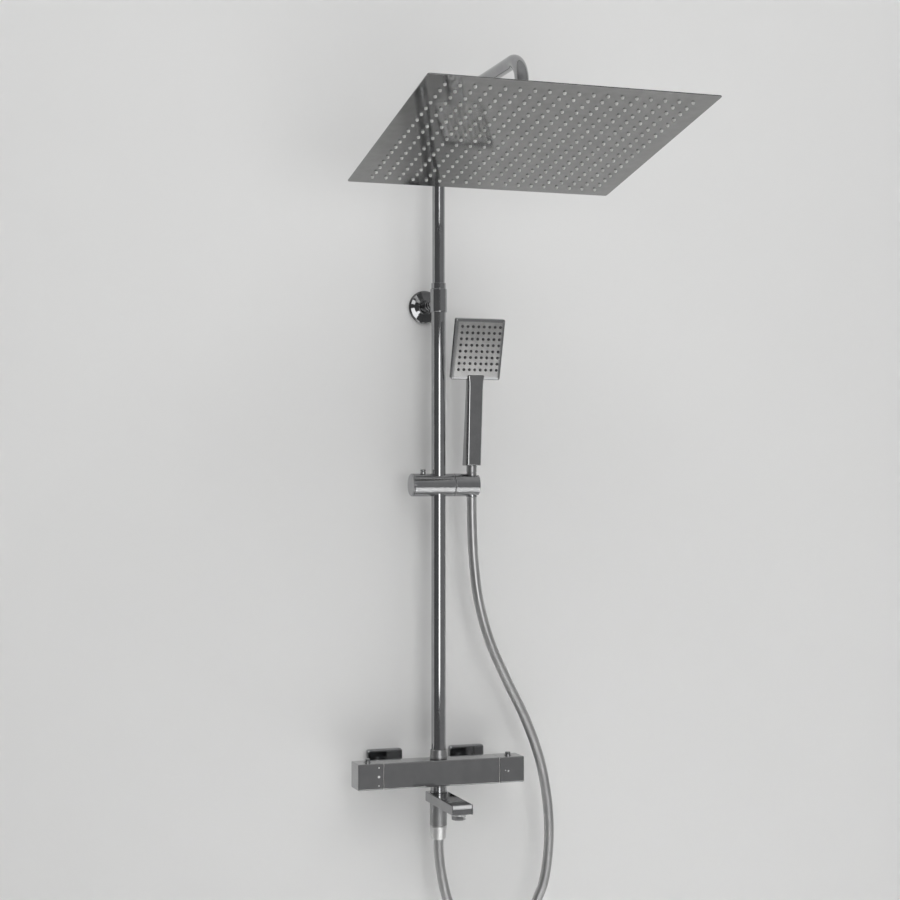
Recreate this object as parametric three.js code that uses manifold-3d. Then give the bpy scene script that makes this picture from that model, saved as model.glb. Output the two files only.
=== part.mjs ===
// Rainfall shower column: thermostatic bar mixer, telescopic column, square rain head,
// sliding hand shower and hose. Millimetres, +Z up, the wall is the plane Y = 0 and the user
// stands on the -Y side. The origin is the centre of the upper wall bracket's back face.

import * as THREE from 'three';
import { mergeVertices } from 'three/addons/utils/BufferGeometryUtils.js';
import Module from 'manifold-3d';

const wasm = await Module();
wasm.setup();

// Clearances
const seatGap = 0.3;        // between fixed faces that meet
const slideGap = 0.4;       // radial, where one piece slides or turns in another

// Column
const columnReach = 80;     // wall to column axis
const lowerTubeRadius = 12.5;
const lowerTubeWall = 1.1;
const upperTubeWall = 1;
const upperTubeInsert = 250;
const collarWall = 1.7;
const collarTop = 24;
const collarBottom = -16;
const lockRingHeight = 10;
const lockRingWall = 1.3;
const flangeRadius = 29.5;
const stemRadius = 10;

// Arm and rain head
const armRise = 332.5;      // bracket centre up to the arm's axis
const rearBend = 55;
const frontBend = 41.5;
const headReach = 500;      // wall to the middle of the head
const headDrop = 131;       // arm axis down to the middle of the head's underside
const headTilt = THREE.MathUtils.degToRad(10.7);
const headWidth = 440;
const headDepth = 420;
const headSheet = 0.7;
const headBackSheet = 0.6;
const matThickness = 0.5;
const domeRadius = 70;
const domeHeight = 10;
const ballRadius = 11;
const ballHeight = 44;      // centre of the ball above the head's underside
const ballStemRadius = 6;

// Slider, holder and hand shower
const sliderDrop = 312;     // bracket centre down to the slider's axis
const barrelRadius = 19.5;
const barrelLeft = 50;
const barrelSeam = 25;
const barrelRight = 70;
const holderFlat = 13.5;    // height of the holder's flat top above the barrel axis
const bushWall = 1.2;
const bushHeight = 23;
const lockButtonOffset = 28;
const lockButtonRadius = 4.9;
const tiltPinRadius = 4;
const handsetOffset = 60;   // column axis to the hand shower's axis
const coneTop = 15;
const coneBottom = -21;
const coneTopRadius = 12.2;
const coneBottomRadius = 9.3;
const connectorRadius = 9;
const connectorTop = 33;
const gripLength = 155;
const gripWidth = 28;
const gripDepth = 25;
const gripTopWidth = 30;
const gripTopDepth = 13;
const gripLean = 17.5;      // how far the grip's middle moves forward by its top
const faceWidth = 89;
const faceHeight = 106;
const faceThickness = 9;
const faceLean = THREE.MathUtils.degToRad(16.4);

// Mixer bar
const barDrop = 801;        // bracket centre down to the bar's axis
const barOverhang = 28.3;   // inlet's axis to the end of the fixed body
const barDepth = 44;
const barHeight = 44;
const barCorner = 2;
const handleLength = 44.7;
const cartridgeRadius = 15;
const cartridgeLength = 46;
const spindleRadius = 5;
const spindleLength = 22;
const pressButtonRadius = 4.5;
const pressButtonRise = 6;
const pressButtonInset = 22; // from the handle's outer end
const inletSpacing = 150;
const escutcheonSize = 64;
const escutcheonThickness = 11;
const escutcheonCorner = 5;
const threadRadius = 10.5;  // half-inch threads
const spigotWall = 2.5;     // the bar's back spigots, outside the thread
const spigotLength = 11;
const unionStep = 1;        // the wall union's neck is this much smaller than the spigot
const unionNutWall = 3.1;
const waterRadius = 7;
const columnNutHeight = 16;

// Outlet, spout and hose
const outletCollar = 13;    // height of the collar between bar and spout
const outletCollarWall = 4.1;
const spoutWidth = 36;
const spoutHeight = 17;
const spoutReach = 128;     // column axis to the spout's front
const spoutBack = 17;
const aeratorRadius = 12.5;
const aeratorInset = 21;
const aeratorHeight = 10.5;
const outletBodyWall = 3.85;
const outletBodyHeight = 38.5;
const hoseNutHeight = 23;
const hoseNutRadius = 12.5;
const hoseRadius = 8.5;

// Places worked out from the sizes above
const upperTubeRadius = lowerTubeRadius - lowerTubeWall - slideGap;
const collarRadius = lowerTubeRadius + seatGap + collarWall;
const spigotRadius = threadRadius + spigotWall;
const unionRadius = spigotRadius - unionStep;
const unionNutRadius = spigotRadius + slideGap + unionNutWall;
const outletCollarRadius = threadRadius + outletCollarWall;
const outletBodyRadius = threadRadius + slideGap + outletBodyWall;
const barTop = barHeight / 2 - barDrop;
const barBottom = -barHeight / 2 - barDrop;
const headZ = armRise - headDrop;
const headRim = headSheet + matThickness + headBackSheet + 2 * seatGap;
const legTopY = -(headReach - headDrop * Math.tan(headTilt));
const cavityRadius = ballRadius + 2.6;
const nutTop = ballHeight + cavityRadius + 6.4;
const bushOuter = lowerTubeRadius + slideGap + bushWall;
const handleInner = inletSpacing / 2 + barOverhang;
const barEndX = handleInner + handleLength;
const spoutTop = barBottom - outletCollar;
const spoutBottom = spoutTop - spoutHeight;
const outletBodyTop = spoutBottom - seatGap - 0.2;
const outletBodyBottom = outletBodyTop - outletBodyHeight;
const hoseNutBottom = outletBodyBottom - seatGap - hoseNutHeight;

const chrome = new THREE.MeshStandardMaterial({ color: 0xb9bcc0, roughness: 0.12, metalness: 1 });
const steel = new THREE.MeshStandardMaterial({ color: 0x9c9ea1, roughness: 0.18, metalness: 1 });
const brass = new THREE.MeshStandardMaterial({ color: 0xb08d4a, roughness: 0.4, metalness: 1 });
const plastic = new THREE.MeshStandardMaterial({ color: 0x3a3c3f, roughness: 0.5 });
const rubber = new THREE.MeshStandardMaterial({ color: 0x1c1c1d, roughness: 0.8 });
const silicone = new THREE.MeshStandardMaterial({ color: 0x8d9093, roughness: 0.6 });
const pvc = new THREE.MeshStandardMaterial({ color: 0xa7a8a8, roughness: 0.35, metalness: 0.4 });

const column = new THREE.Group();
const onAxis = new THREE.Group();
onAxis.position.y = -columnReach;
column.add(onAxis);

function add(parent, name, geometry, material) {
  const mesh = new THREE.Mesh(geometry, material);
  mesh.name = name;
  parent.add(mesh);
}

// Solids of revolution about Z from [radius, height] points, anticlockwise round the section
function turned(profile, sides = 18) {
  const points = profile.map(([radius, height]) => new THREE.Vector2(radius, height));
  return new THREE.LatheGeometry(points, sides).rotateX(Math.PI / 2);
}

function rod(radius, bottom, top, sides = 18) {
  return turned([[0, bottom], [radius, bottom], [radius, top], [0, top]], sides);
}

function ring(outer, inner, bottom, top, sides = 18) {
  const section = [[inner, bottom], [outer, bottom], [outer, top], [inner, top], [inner, bottom]];
  return turned(section, sides);
}

// Points on an arc of a section, angles in degrees up from the horizontal
function arc(radius, centreHeight, from, to, steps) {
  return Array.from({ length: steps + 1 }, (_, i) => {
    const angle = THREE.MathUtils.degToRad(from + (to - from) * i / steps);
    return [radius * Math.cos(angle), centreHeight + radius * Math.sin(angle)];
  });
}

// A rounded rectangle in X and Y, raised along Z
function prism(width, depth, corner, bottom, top, steps = 1) {
  const shape = new THREE.Shape();
  const x = width / 2 - corner;
  const y = depth / 2 - corner;
  shape.moveTo(x, -y - corner).absarc(x, -y, corner, -Math.PI / 2, 0);
  shape.absarc(x, y, corner, 0, Math.PI / 2).absarc(-x, y, corner, Math.PI / 2, Math.PI);
  shape.absarc(-x, -y, corner, Math.PI, Math.PI * 1.5);
  const options = { depth: top - bottom, bevelEnabled: false, curveSegments: 2, steps };
  return new THREE.ExtrudeGeometry(shape, options).translate(0, 0, bottom);
}

function box(width, depth, height) {
  return new THREE.BoxGeometry(width, depth, height);
}

// Turn a solid built along Z so that it runs along another direction
const alongX = (geometry) => geometry.rotateY(Math.PI / 2);
const fromWall = (geometry) => geometry.rotateX(Math.PI / 2);

function toSolid(geometry) {
  const bare = geometry.clone();
  bare.deleteAttribute('normal');
  bare.deleteAttribute('uv');
  const merged = mergeVertices(bare, 1e-4);
  const vertProperties = new Float32Array(merged.attributes.position.array);
  const triVerts = new Uint32Array(merged.index.array);
  const mesh = new wasm.Mesh({ numProp: 3, vertProperties, triVerts });
  return new wasm.Manifold(mesh);
}

function toGeometry(solid) {
  const mesh = solid.getMesh();
  const geometry = new THREE.BufferGeometry();
  geometry.setAttribute('position', new THREE.BufferAttribute(mesh.vertProperties, 3));
  geometry.setIndex(new THREE.BufferAttribute(mesh.triVerts, 1));
  return geometry;
}

function cut(geometry, ...tools) {
  return toGeometry(tools.reduce((solid, tool) => solid.subtract(toSolid(tool)), toSolid(geometry)));
}

function join(geometry, ...others) {
  return toGeometry(others.reduce((solid, other) => solid.add(toSolid(other)), toSolid(geometry)));
}

// A path that passes through a list of stations, one section of the sweep at each
class StationPath extends THREE.Curve {
  constructor(stations) {
    super();
    this.stations = stations;
  }

  getPoint(t, target = new THREE.Vector3()) {
    const place = t * (this.stations.length - 1);
    const index = Math.min(Math.floor(place), this.stations.length - 2);
    return target.lerpVectors(this.stations[index], this.stations[index + 1], place - index);
  }

  getUtoTmapping(u) {
    return u;
  }
}

function sweep(path, steps, radius, inner, sides) {
  const circle = (r, Kind) => {
    const points = Array.from({ length: sides }, (_, i) => {
      const angle = 2 * Math.PI * i / sides;
      return new THREE.Vector2(r * Math.cos(angle), r * Math.sin(angle));
    });
    return new Kind(points);
  };
  const section = circle(radius, THREE.Shape);
  if (inner > 0) section.holes.push(circle(inner, THREE.Path));
  return new THREE.ExtrudeGeometry(section, { extrudePath: path, steps, bevelEnabled: false });
}

// Stations round a bend of the given radius between two straight runs that meet at a corner
function bendStations(before, corner, after, radius, steps) {
  const back = before.clone().sub(corner).normalize();
  const ahead = after.clone().sub(corner).normalize();
  const half = back.angleTo(ahead) / 2;
  const tangent = radius / Math.tan(half);
  const middle = back.clone().add(ahead).normalize().multiplyScalar(radius / Math.sin(half)).add(corner);
  const start = back.clone().multiplyScalar(tangent).add(corner).sub(middle);
  const axis = back.clone().cross(ahead).normalize();
  const turn = -(Math.PI - 2 * half);
  return Array.from({ length: steps + 1 }, (_, i) =>
    start.clone().applyAxisAngle(axis, turn * i / steps).add(middle));
}

function spring(radius, wire, bottom, top, turns) {
  const steps = turns * 8;
  const stations = Array.from({ length: steps + 1 }, (_, i) => {
    const angle = 2 * Math.PI * turns * i / steps;
    const height = bottom + (top - bottom) * i / steps;
    return new THREE.Vector3(radius * Math.cos(angle), radius * Math.sin(angle), height);
  });
  return sweep(new StationPath(stations), steps, wire, 0, 5);
}

// Wall bracket: plate, dished flange, ribbed stem and the collar that grips the column
function wallBracket() {
  const holes = [-1, 1].map((side) => rod(2.3, -1, 5, 12).translate(side * 12.4, 0, 0));
  const plate = turned([[0, 0], [17, 0], [17, 4], [8, 4], [8, 13], [0, 13]]);
  add(column, 'wall_plate', fromWall(cut(plate, ...holes)), steel);

  const hole = stemRadius + slideGap;
  const flange = [[flangeRadius - 2.3, 0], [flangeRadius, 0], [flangeRadius, 2.5],
    [flangeRadius - 2.5, 4], [20, 5.4], [13, 7.4], [hole, 8], [hole, 5.8], [18, 4.8],
    [26, 1.6], [flangeRadius - 2.3, 0]];
  add(column, 'wall_flange', fromWall(turned(flange)), chrome);

  const stemEnd = columnReach - collarRadius - seatGap;
  const grooves = [0.55, 0.75].flatMap((share) => {
    const at = stemEnd * share;
    return [[stemRadius, at], [stemRadius - 1, at + 0.6], [stemRadius - 1, at + 2], [stemRadius, at + 2.6]];
  });
  const stem = [[8.4, 4.3], [stemRadius, 4.3], ...grooves, [stemRadius, stemEnd], [8.4, stemEnd], [8.4, 4.3]];
  add(column, 'bracket_stem', fromWall(turned(stem)), chrome);

  const inner = lowerTubeRadius + seatGap;
  const bevel = 1;
  const sleeve = turned([[inner, collarBottom], [collarRadius - bevel, collarBottom],
    [collarRadius, collarBottom + bevel], [collarRadius, collarTop - bevel],
    [collarRadius - bevel, collarTop], [inner, collarTop], [inner, collarBottom]]);
  const boss = rod(8, -collarRadius - 12, -inner - 0.2).rotateX(Math.PI / 2);
  add(onAxis, 'wall_collar', join(sleeve, cut(boss, rod(inner + 0.1, -20, 20))), chrome);
}

// Lock ring and screw that hold the telescope at its height
function telescopeLock() {
  const bottom = collarTop + seatGap;
  const top = collarTop + lockRingHeight;
  const middle = (bottom + top) / 2;
  const outer = upperTubeRadius + slideGap + lockRingWall;
  const blank = ring(outer, upperTubeRadius + slideGap, bottom, top);
  const hole = rod(1.9, -20, 0, 10).rotateX(Math.PI / 2).translate(0, 0, middle);
  add(onAxis, 'lock_ring', cut(blank, hole), chrome);
  const screw = rod(1.6, -outer - 2, -upperTubeRadius - slideGap, 10);
  add(onAxis, 'lock_ring_screw', screw.rotateX(Math.PI / 2).translate(0, 0, middle), steel);
}

function columnTubes() {
  const inner = lowerTubeRadius - lowerTubeWall;
  add(onAxis, 'lower_tube', ring(lowerTubeRadius, inner, barTop + 2, collarTop - 0.5), chrome);
  const nut = lowerTubeRadius + slideGap;
  const nutProfile = [[nut, barTop + seatGap], [nut + 1.6, barTop + seatGap], [nut + 1.6, barTop + 4],
    [nut + 0.8, barTop + columnNutHeight], [nut, barTop + columnNutHeight], [nut, barTop + seatGap]];
  add(onAxis, 'column_nut', turned(nutProfile), chrome);
  add(onAxis, 'column_nipple', ring(threadRadius, waterRadius, barTop - 12, barTop + 14), brass);
  const ringTop = -upperTubeInsert - seatGap;
  add(onAxis, 'riser_guide', ring(upperTubeRadius, 8.5, ringTop - 8, ringTop), plastic);
}

// One bent tube: up inside the lower tube, forward as the arm, down as the leg
function riser() {
  const at = (y, z) => new THREE.Vector3(0, y, z);
  const foot = at(0, -upperTubeInsert);
  const rear = at(0, armRise);
  const front = at(legTopY + columnReach, armRise);
  const endRise = nutTop - 4;
  const end = at(columnReach - headReach + endRise * Math.sin(headTilt), headZ + endRise * Math.cos(headTilt));
  const stations = [foot, ...bendStations(foot, rear, front, rearBend, 7),
    ...bendStations(rear, front, end, frontBend, 6), end];
  const path = new StationPath(stations);
  const tube = sweep(path, stations.length - 1, upperTubeRadius, upperTubeRadius - upperTubeWall, 14);
  add(onAxis, 'upper_tube', tube, chrome);
}

// Rain head, built flat about its underside's middle and then tilted
function rainHead() {
  const head = new THREE.Group();
  head.position.set(0, -headReach, headZ);
  head.rotation.x = -headTilt;
  column.add(head);

  const pocket = prism(headWidth - 2 * headSheet, headDepth - 2 * headSheet, 3, headSheet, headRim + 1);
  add(head, 'head_face', cut(prism(headWidth, headDepth, 4, 0, headRim), pocket), steel);

  const matBottom = headSheet + seatGap;
  const matTop = matBottom + matThickness;
  add(head, 'head_nozzle_mat', prism(headWidth - 24, headDepth - 24, 3, matBottom, matTop), silicone);

  const sheetBottom = matTop + seatGap;
  const sheetTop = sheetBottom + headBackSheet;
  const inset = 2 * (headSheet + seatGap);
  const hole = threadRadius + slideGap;
  const sheet = cut(prism(headWidth - inset, headDepth - inset, 3, sheetBottom, sheetTop),
    rod(domeRadius - 3, 0, 20));
  const dome = turned([[domeRadius - 6, sheetBottom], [domeRadius, sheetBottom], [domeRadius, sheetTop],
    [22, domeHeight], [hole, domeHeight], [hole, domeHeight - 1.2], [22, domeHeight - 1.2],
    [domeRadius - 6, sheetBottom]]);
  add(head, 'head_back', join(sheet, dome), steel);

  const bossBottom = domeHeight + seatGap;
  const bossTop = bossBottom + 15;
  const bore = ballStemRadius + slideGap;
  const boss = [[waterRadius - 2, matTop + 1.4], [threadRadius, matTop + 1.4], [threadRadius, bossBottom],
    [17, bossBottom], [17, bossTop - 1], [16, bossTop], [bore, bossTop], [bore, bossBottom + 3],
    [waterRadius - 2, bossBottom + 3], [waterRadius - 2, matTop + 1.4]];
  add(head, 'head_boss', turned(boss), chrome);
  add(head, 'head_lock_nut', ring(15, hole, domeHeight - 4.7, domeHeight - 1.6), brass);

  const stemAngle = THREE.MathUtils.radToDeg(Math.acos(ballStemRadius / ballRadius));
  const boreAngle = THREE.MathUtils.radToDeg(Math.acos(4 / ballRadius));
  const stem = [[4, bossBottom + 3.4], [ballStemRadius, bossBottom + 3.4],
    ...arc(ballRadius, ballHeight, -stemAngle, boreAngle, 7), [4, bossBottom + 3.4]];
  add(head, 'ball_stem', turned(stem), brass);

  const shell = (outer, from, to, steps) => turned([
    ...arc(outer, ballHeight, from, to, steps),
    ...arc(ballRadius + seatGap, ballHeight, to, from, steps),
    arc(outer, ballHeight, from, to, steps)[0]]);
  add(head, 'seat_ring', shell(ballRadius + 2.1, -28, 8, 3), plastic);
  add(head, 'ball_seal', shell(ballRadius + 1.8, 38, 62, 2), rubber);

  const tubeHole = upperTubeRadius + slideGap;
  const lip = arc(cavityRadius, ballHeight, 0, -38, 4);
  const nut = [[lip.at(-1)[0], ballHeight - 10.2], [16, ballHeight - 10.2], [17, ballHeight - 9],
    [17, nutTop - 1.5], [15.5, nutTop], [tubeHole, nutTop], [tubeHole, nutTop - 4.6],
    [cavityRadius, nutTop - 4.6], ...lip, [lip.at(-1)[0], ballHeight - 10.2]];
  add(head, 'ball_nut', turned(nut), chrome);
}

// Slider on the column: bush, barrel, lock button and the tilting holder
function slider() {
  const carriage = new THREE.Group();
  carriage.position.z = -sliderDrop;
  onAxis.add(carriage);

  const bore = bushOuter + slideGap;
  add(carriage, 'slider_bush', ring(bushOuter, lowerTubeRadius + slideGap, -bushHeight / 2, bushHeight / 2), plastic);

  const capThickness = 3;
  const barrel = alongX(rod(barrelRadius, capThickness + seatGap - barrelLeft, barrelSeam, 24));
  const wellFloor = 6;
  const well = rod(lockButtonRadius + slideGap, wellFloor, 30, 16).translate(-lockButtonOffset, 0, 0);
  const pinHole = alongX(rod(tiltPinRadius + seatGap, bore + 1.2, barrelSeam + 1, 16));
  add(carriage, 'slider_body', cut(barrel, rod(bore, -30, 30), well, pinHole), chrome);

  const cap = turned([[0, 0], [barrelRadius - 1.4, 0], [barrelRadius - 0.4, 1], [barrelRadius - 0.4, capThickness],
    [0, capThickness]]);
  add(carriage, 'slider_end_cap', alongX(cap).translate(-barrelLeft, 0, 0), chrome);

  const buttonTop = barrelRadius + 7;
  const button = turned([[0, 9.5], [lockButtonRadius, 9.5], [lockButtonRadius, buttonTop - 0.8],
    [lockButtonRadius - 0.8, buttonTop], [0, buttonTop]], 16);
  add(carriage, 'lock_button', button.translate(-lockButtonOffset, 0, 0), chrome);
  const coil = spring(3.2, 0.45, wellFloor + 0.8, 8.7, 2);
  add(carriage, 'lock_spring', coil.translate(-lockButtonOffset, 0, 0), steel);

  const washer = 1;
  const holderStart = barrelSeam + washer + 2 * seatGap;
  const pinEnd = holderStart + 17;
  add(carriage, 'tilt_pin', alongX(rod(tiltPinRadius, bore + 1.5, pinEnd, 16)), steel);
  const discStart = barrelSeam + seatGap;
  add(carriage, 'tilt_washer', alongX(ring(barrelRadius - 2, tiltPinRadius + slideGap, discStart, discStart + washer)),
    plastic);

  const blank = alongX(rod(barrelRadius, holderStart, barrelRight, 24));
  const flat = box(100, 100, 40).translate(holderStart + 56, 0, holderFlat + 20);
  const slope = (coneTopRadius - coneBottomRadius) / (coneTop - coneBottom);
  const seatAt = (z) => coneBottomRadius + slope * (z - coneBottom) + slideGap;
  const seat = turned([[0, -25], [seatAt(-25), -25], [seatAt(25), 25], [0, 25]]).translate(handsetOffset, 0, 0);
  const slot = box(40, 2 * (hoseRadius + 0.5), 60).translate(handsetOffset + 20, 0, 0);
  const pivot = alongX(rod(tiltPinRadius + slideGap, holderStart - 1, pinEnd + 0.5, 16));
  add(carriage, 'holder', cut(blank, flat, seat, slot, pivot), chrome);
}

// Move the points of an upright prism so that its section changes smoothly towards the top
function tapered(geometry, bottom, top, widthEnd, depthEnd, lean) {
  const points = geometry.attributes.position;
  for (let i = 0; i < points.count; i += 1) {
    const share = THREE.MathUtils.clamp((points.getZ(i) - bottom) / (top - bottom), 0, 1);
    const width = 1 + (widthEnd - 1) * share;
    const depth = 1 + (depthEnd - 1) * share;
    points.setXYZ(i, points.getX(i) * width, points.getY(i) * depth - lean * share, points.getZ(i));
  }
  return geometry;
}

function handset() {
  const hand = new THREE.Group();
  hand.position.set(handsetOffset, 0, -sliderDrop);
  onAxis.add(hand);

  const thread = waterRadius + 1.2;
  const shoulder = 0;
  const cone = [[waterRadius - 1, coneBottom], [coneBottomRadius, coneBottom], [coneTopRadius, coneTop],
    [thread + slideGap, coneTop], [thread + slideGap, shoulder], [waterRadius - 1, shoulder],
    [waterRadius - 1, coneBottom]];
  add(hand, 'hose_cone_nut', turned(cone), chrome);
  add(hand, 'handset_washer', ring(thread, waterRadius - 2, shoulder + seatGap, shoulder + 1.8, 16), rubber);

  const inner = waterRadius - 2;
  const connector = [[inner, shoulder + 2.1], [thread, shoulder + 2.1], [thread, coneTop + seatGap],
    [connectorRadius, coneTop + seatGap], [connectorRadius, connectorTop], [thread, connectorTop],
    [thread, connectorTop + 12], [inner, connectorTop + 12], [inner, shoulder + 2.1]];
  add(hand, 'handset_connector', turned(connector), chrome);

  const gripBottom = connectorTop + seatGap;
  const gripTop = connectorTop + gripLength;
  const tilted = new THREE.Group();
  tilted.position.set(0, -gripLean - gripTopDepth / 2 + 4, gripTop - 8);
  tilted.rotation.x = faceLean;
  hand.add(tilted);
  tilted.updateMatrix();

  const shape = (geometry) =>
    tapered(geometry, gripBottom, gripTop, gripTopWidth / gripWidth, gripTopDepth / gripDepth, gripLean);
  const solidGrip = shape(prism(gripWidth, gripDepth, 3, gripBottom, gripTop, 2));
  const passage = shape(rod(4.5, gripBottom + 5, gripTop - 12, 12));
  const socket = rod(thread + seatGap, 0, connectorTop + 12.5, 16);
  const clear = 2 * seatGap;
  const headSpace = box(faceWidth + clear, faceThickness + clear, faceHeight + clear)
    .translate(0, faceThickness / 2, faceHeight / 2).applyMatrix4(tilted.matrix);
  add(hand, 'handset_grip', cut(solidGrip, socket, passage, headSpace), chrome);

  const plate = 1.2;
  const rim = 2.5;
  const shellFront = plate + seatGap;
  const centred = (geometry, front, back) => geometry.translate(0, (front + back) / 2, faceHeight / 2);
  const shell = centred(box(faceWidth, faceThickness - shellFront, faceHeight), shellFront, faceThickness);
  const hollowBack = faceThickness - rim;
  const hollow = centred(box(faceWidth - 2 * rim, hollowBack, faceHeight - 2 * rim), 0, hollowBack);
  add(tilted, 'handset_shell', cut(shell, hollow), chrome);
  add(tilted, 'handset_face', centred(box(faceWidth, plate, faceHeight), 0, plate), steel);
  const matFront = shellFront + 0.1;
  const mat = box(faceWidth - 2 * rim - 3, 3, faceHeight - 2 * rim - 3);
  add(tilted, 'handset_nozzle_mat', centred(mat, matFront, matFront + 3), silicone);
}

// Bar mixer body with its bores, ports and the back spigots for the union nuts
function mixerBody() {
  const mixer = new THREE.Group();
  mixer.position.z = -barDrop;
  onAxis.add(mixer);

  const half = handleInner - seatGap;
  const cartridgeBore = cartridgeRadius + seatGap;
  const block = alongX(prism(barHeight, barDepth, barCorner, -half, half));
  const spigot = (side) => ring(spigotRadius, waterRadius, barDepth / 2 - 1, barDepth / 2 + spigotLength)
    .rotateX(-Math.PI / 2).translate(side * inletSpacing / 2, 0, 0);
  const port = (side) => rod(waterRadius, 0, barDepth / 2 + spigotLength + 1, 16)
    .rotateX(-Math.PI / 2).translate(side * inletSpacing / 2, 0, 0);
  const bores = [-1, 1].map((side) =>
    alongX(rod(cartridgeBore, 0, cartridgeLength + 10)).translate(side > 0 ? half - cartridgeLength - 2 : -half - 8, 0, 0));
  const gallery = alongX(rod(waterRadius + 2, -half + 10, half - 10, 16));
  const neck = rod(threadRadius + slideGap, -30, 30);
  const body = join(block, spigot(-1), spigot(1));
  add(mixer, 'mixer_body', cut(body, ...bores, gallery, neck, port(-1), port(1)), chrome);
  return mixer;
}

// Cartridge, handle, press button and spring at one end of the bar; side is -1 left, +1 right
function barEnd(mixer, side, names) {
  const face = handleInner - seatGap;
  const end = new THREE.Group();
  end.rotation.z = side > 0 ? 0 : Math.PI;
  mixer.add(end);

  const root = face - cartridgeLength;
  const cartridge = [[0, root], [cartridgeRadius - 2, root], [cartridgeRadius, root + 2],
    [cartridgeRadius, face - 1], [9, face - 1], [9, face + 4], [spindleRadius, face + 4],
    [spindleRadius, face + spindleLength], [0, face + spindleLength]];
  add(end, names.cartridge, alongX(turned(cartridge)), brass);

  const blank = alongX(prism(barHeight, barDepth, barCorner, handleInner + seatGap, barEndX));
  const recess = alongX(rod(cartridgeRadius, 0, handleInner + 6));
  const spindleHole = alongX(rod(spindleRadius + slideGap, 0, face + spindleLength + 1, 16));
  const buttonX = barEndX - pressButtonInset;
  const wellFloor = spindleRadius + 3;
  const well = rod(pressButtonRadius + slideGap, wellFloor, 40, 16).translate(buttonX, 0, 0);
  add(end, names.handle, cut(blank, recess, spindleHole, well), chrome);

  const bottom = wellFloor + 4;
  const top = barHeight / 2 + pressButtonRise;
  const button = turned([[0, bottom], [pressButtonRadius, bottom], [pressButtonRadius, top - 0.6],
    [pressButtonRadius - 0.6, top], [0, top]], 16);
  add(end, names.button, button.translate(buttonX, 0, 0), chrome);
  add(end, names.spring, spring(2.9, 0.45, wellFloor + 0.8, bottom - 0.8, 2).translate(buttonX, 0, 0), steel);
}

// Wall connection at one side: cover plate, union, filter washer and nut
function inlet(mixer, side, suffix) {
  const place = (geometry) =>
    fromWall(geometry).translate(side * inletSpacing / 2, columnReach, 0);
  const gap = columnReach - barDepth / 2;       // wall to the back of the bar
  const spigotFace = gap - spigotLength;
  const unionEnd = spigotFace - 2.1;
  const plate = cut(prism(escutcheonSize, escutcheonSize, escutcheonCorner, 0, escutcheonThickness),
    rod(unionRadius + slideGap, -1, escutcheonThickness + 1));
  add(mixer, `escutcheon_${suffix}`, place(plate), chrome);

  const lip = unionRadius + 1.1;
  const union = [[waterRadius, 0], [unionRadius, 0], [unionRadius, unionEnd - 4], [lip, unionEnd - 4],
    [lip, unionEnd], [waterRadius, unionEnd], [waterRadius, 0]];
  add(mixer, `wall_union_${suffix}`, place(turned(union)), brass);
  add(mixer, `filter_washer_${suffix}`, place(ring(unionRadius + 0.5, 5, unionEnd + seatGap, spigotFace - seatGap)), rubber);

  const shoulder = unionEnd - 4 - seatGap;
  const nutStart = shoulder - 8;
  const nutEnd = gap - 2;
  const wide = spigotRadius + slideGap;
  const narrow = unionRadius + slideGap;
  const nut = [[narrow, nutStart], [unionNutRadius - 1, nutStart], [unionNutRadius, nutStart + 1],
    [unionNutRadius, nutEnd - 1], [unionNutRadius - 1, nutEnd], [wide, nutEnd], [wide, shoulder],
    [narrow, shoulder], [narrow, nutStart]];
  add(mixer, `union_nut_${suffix}`, place(turned(nut)), chrome);
}

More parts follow.
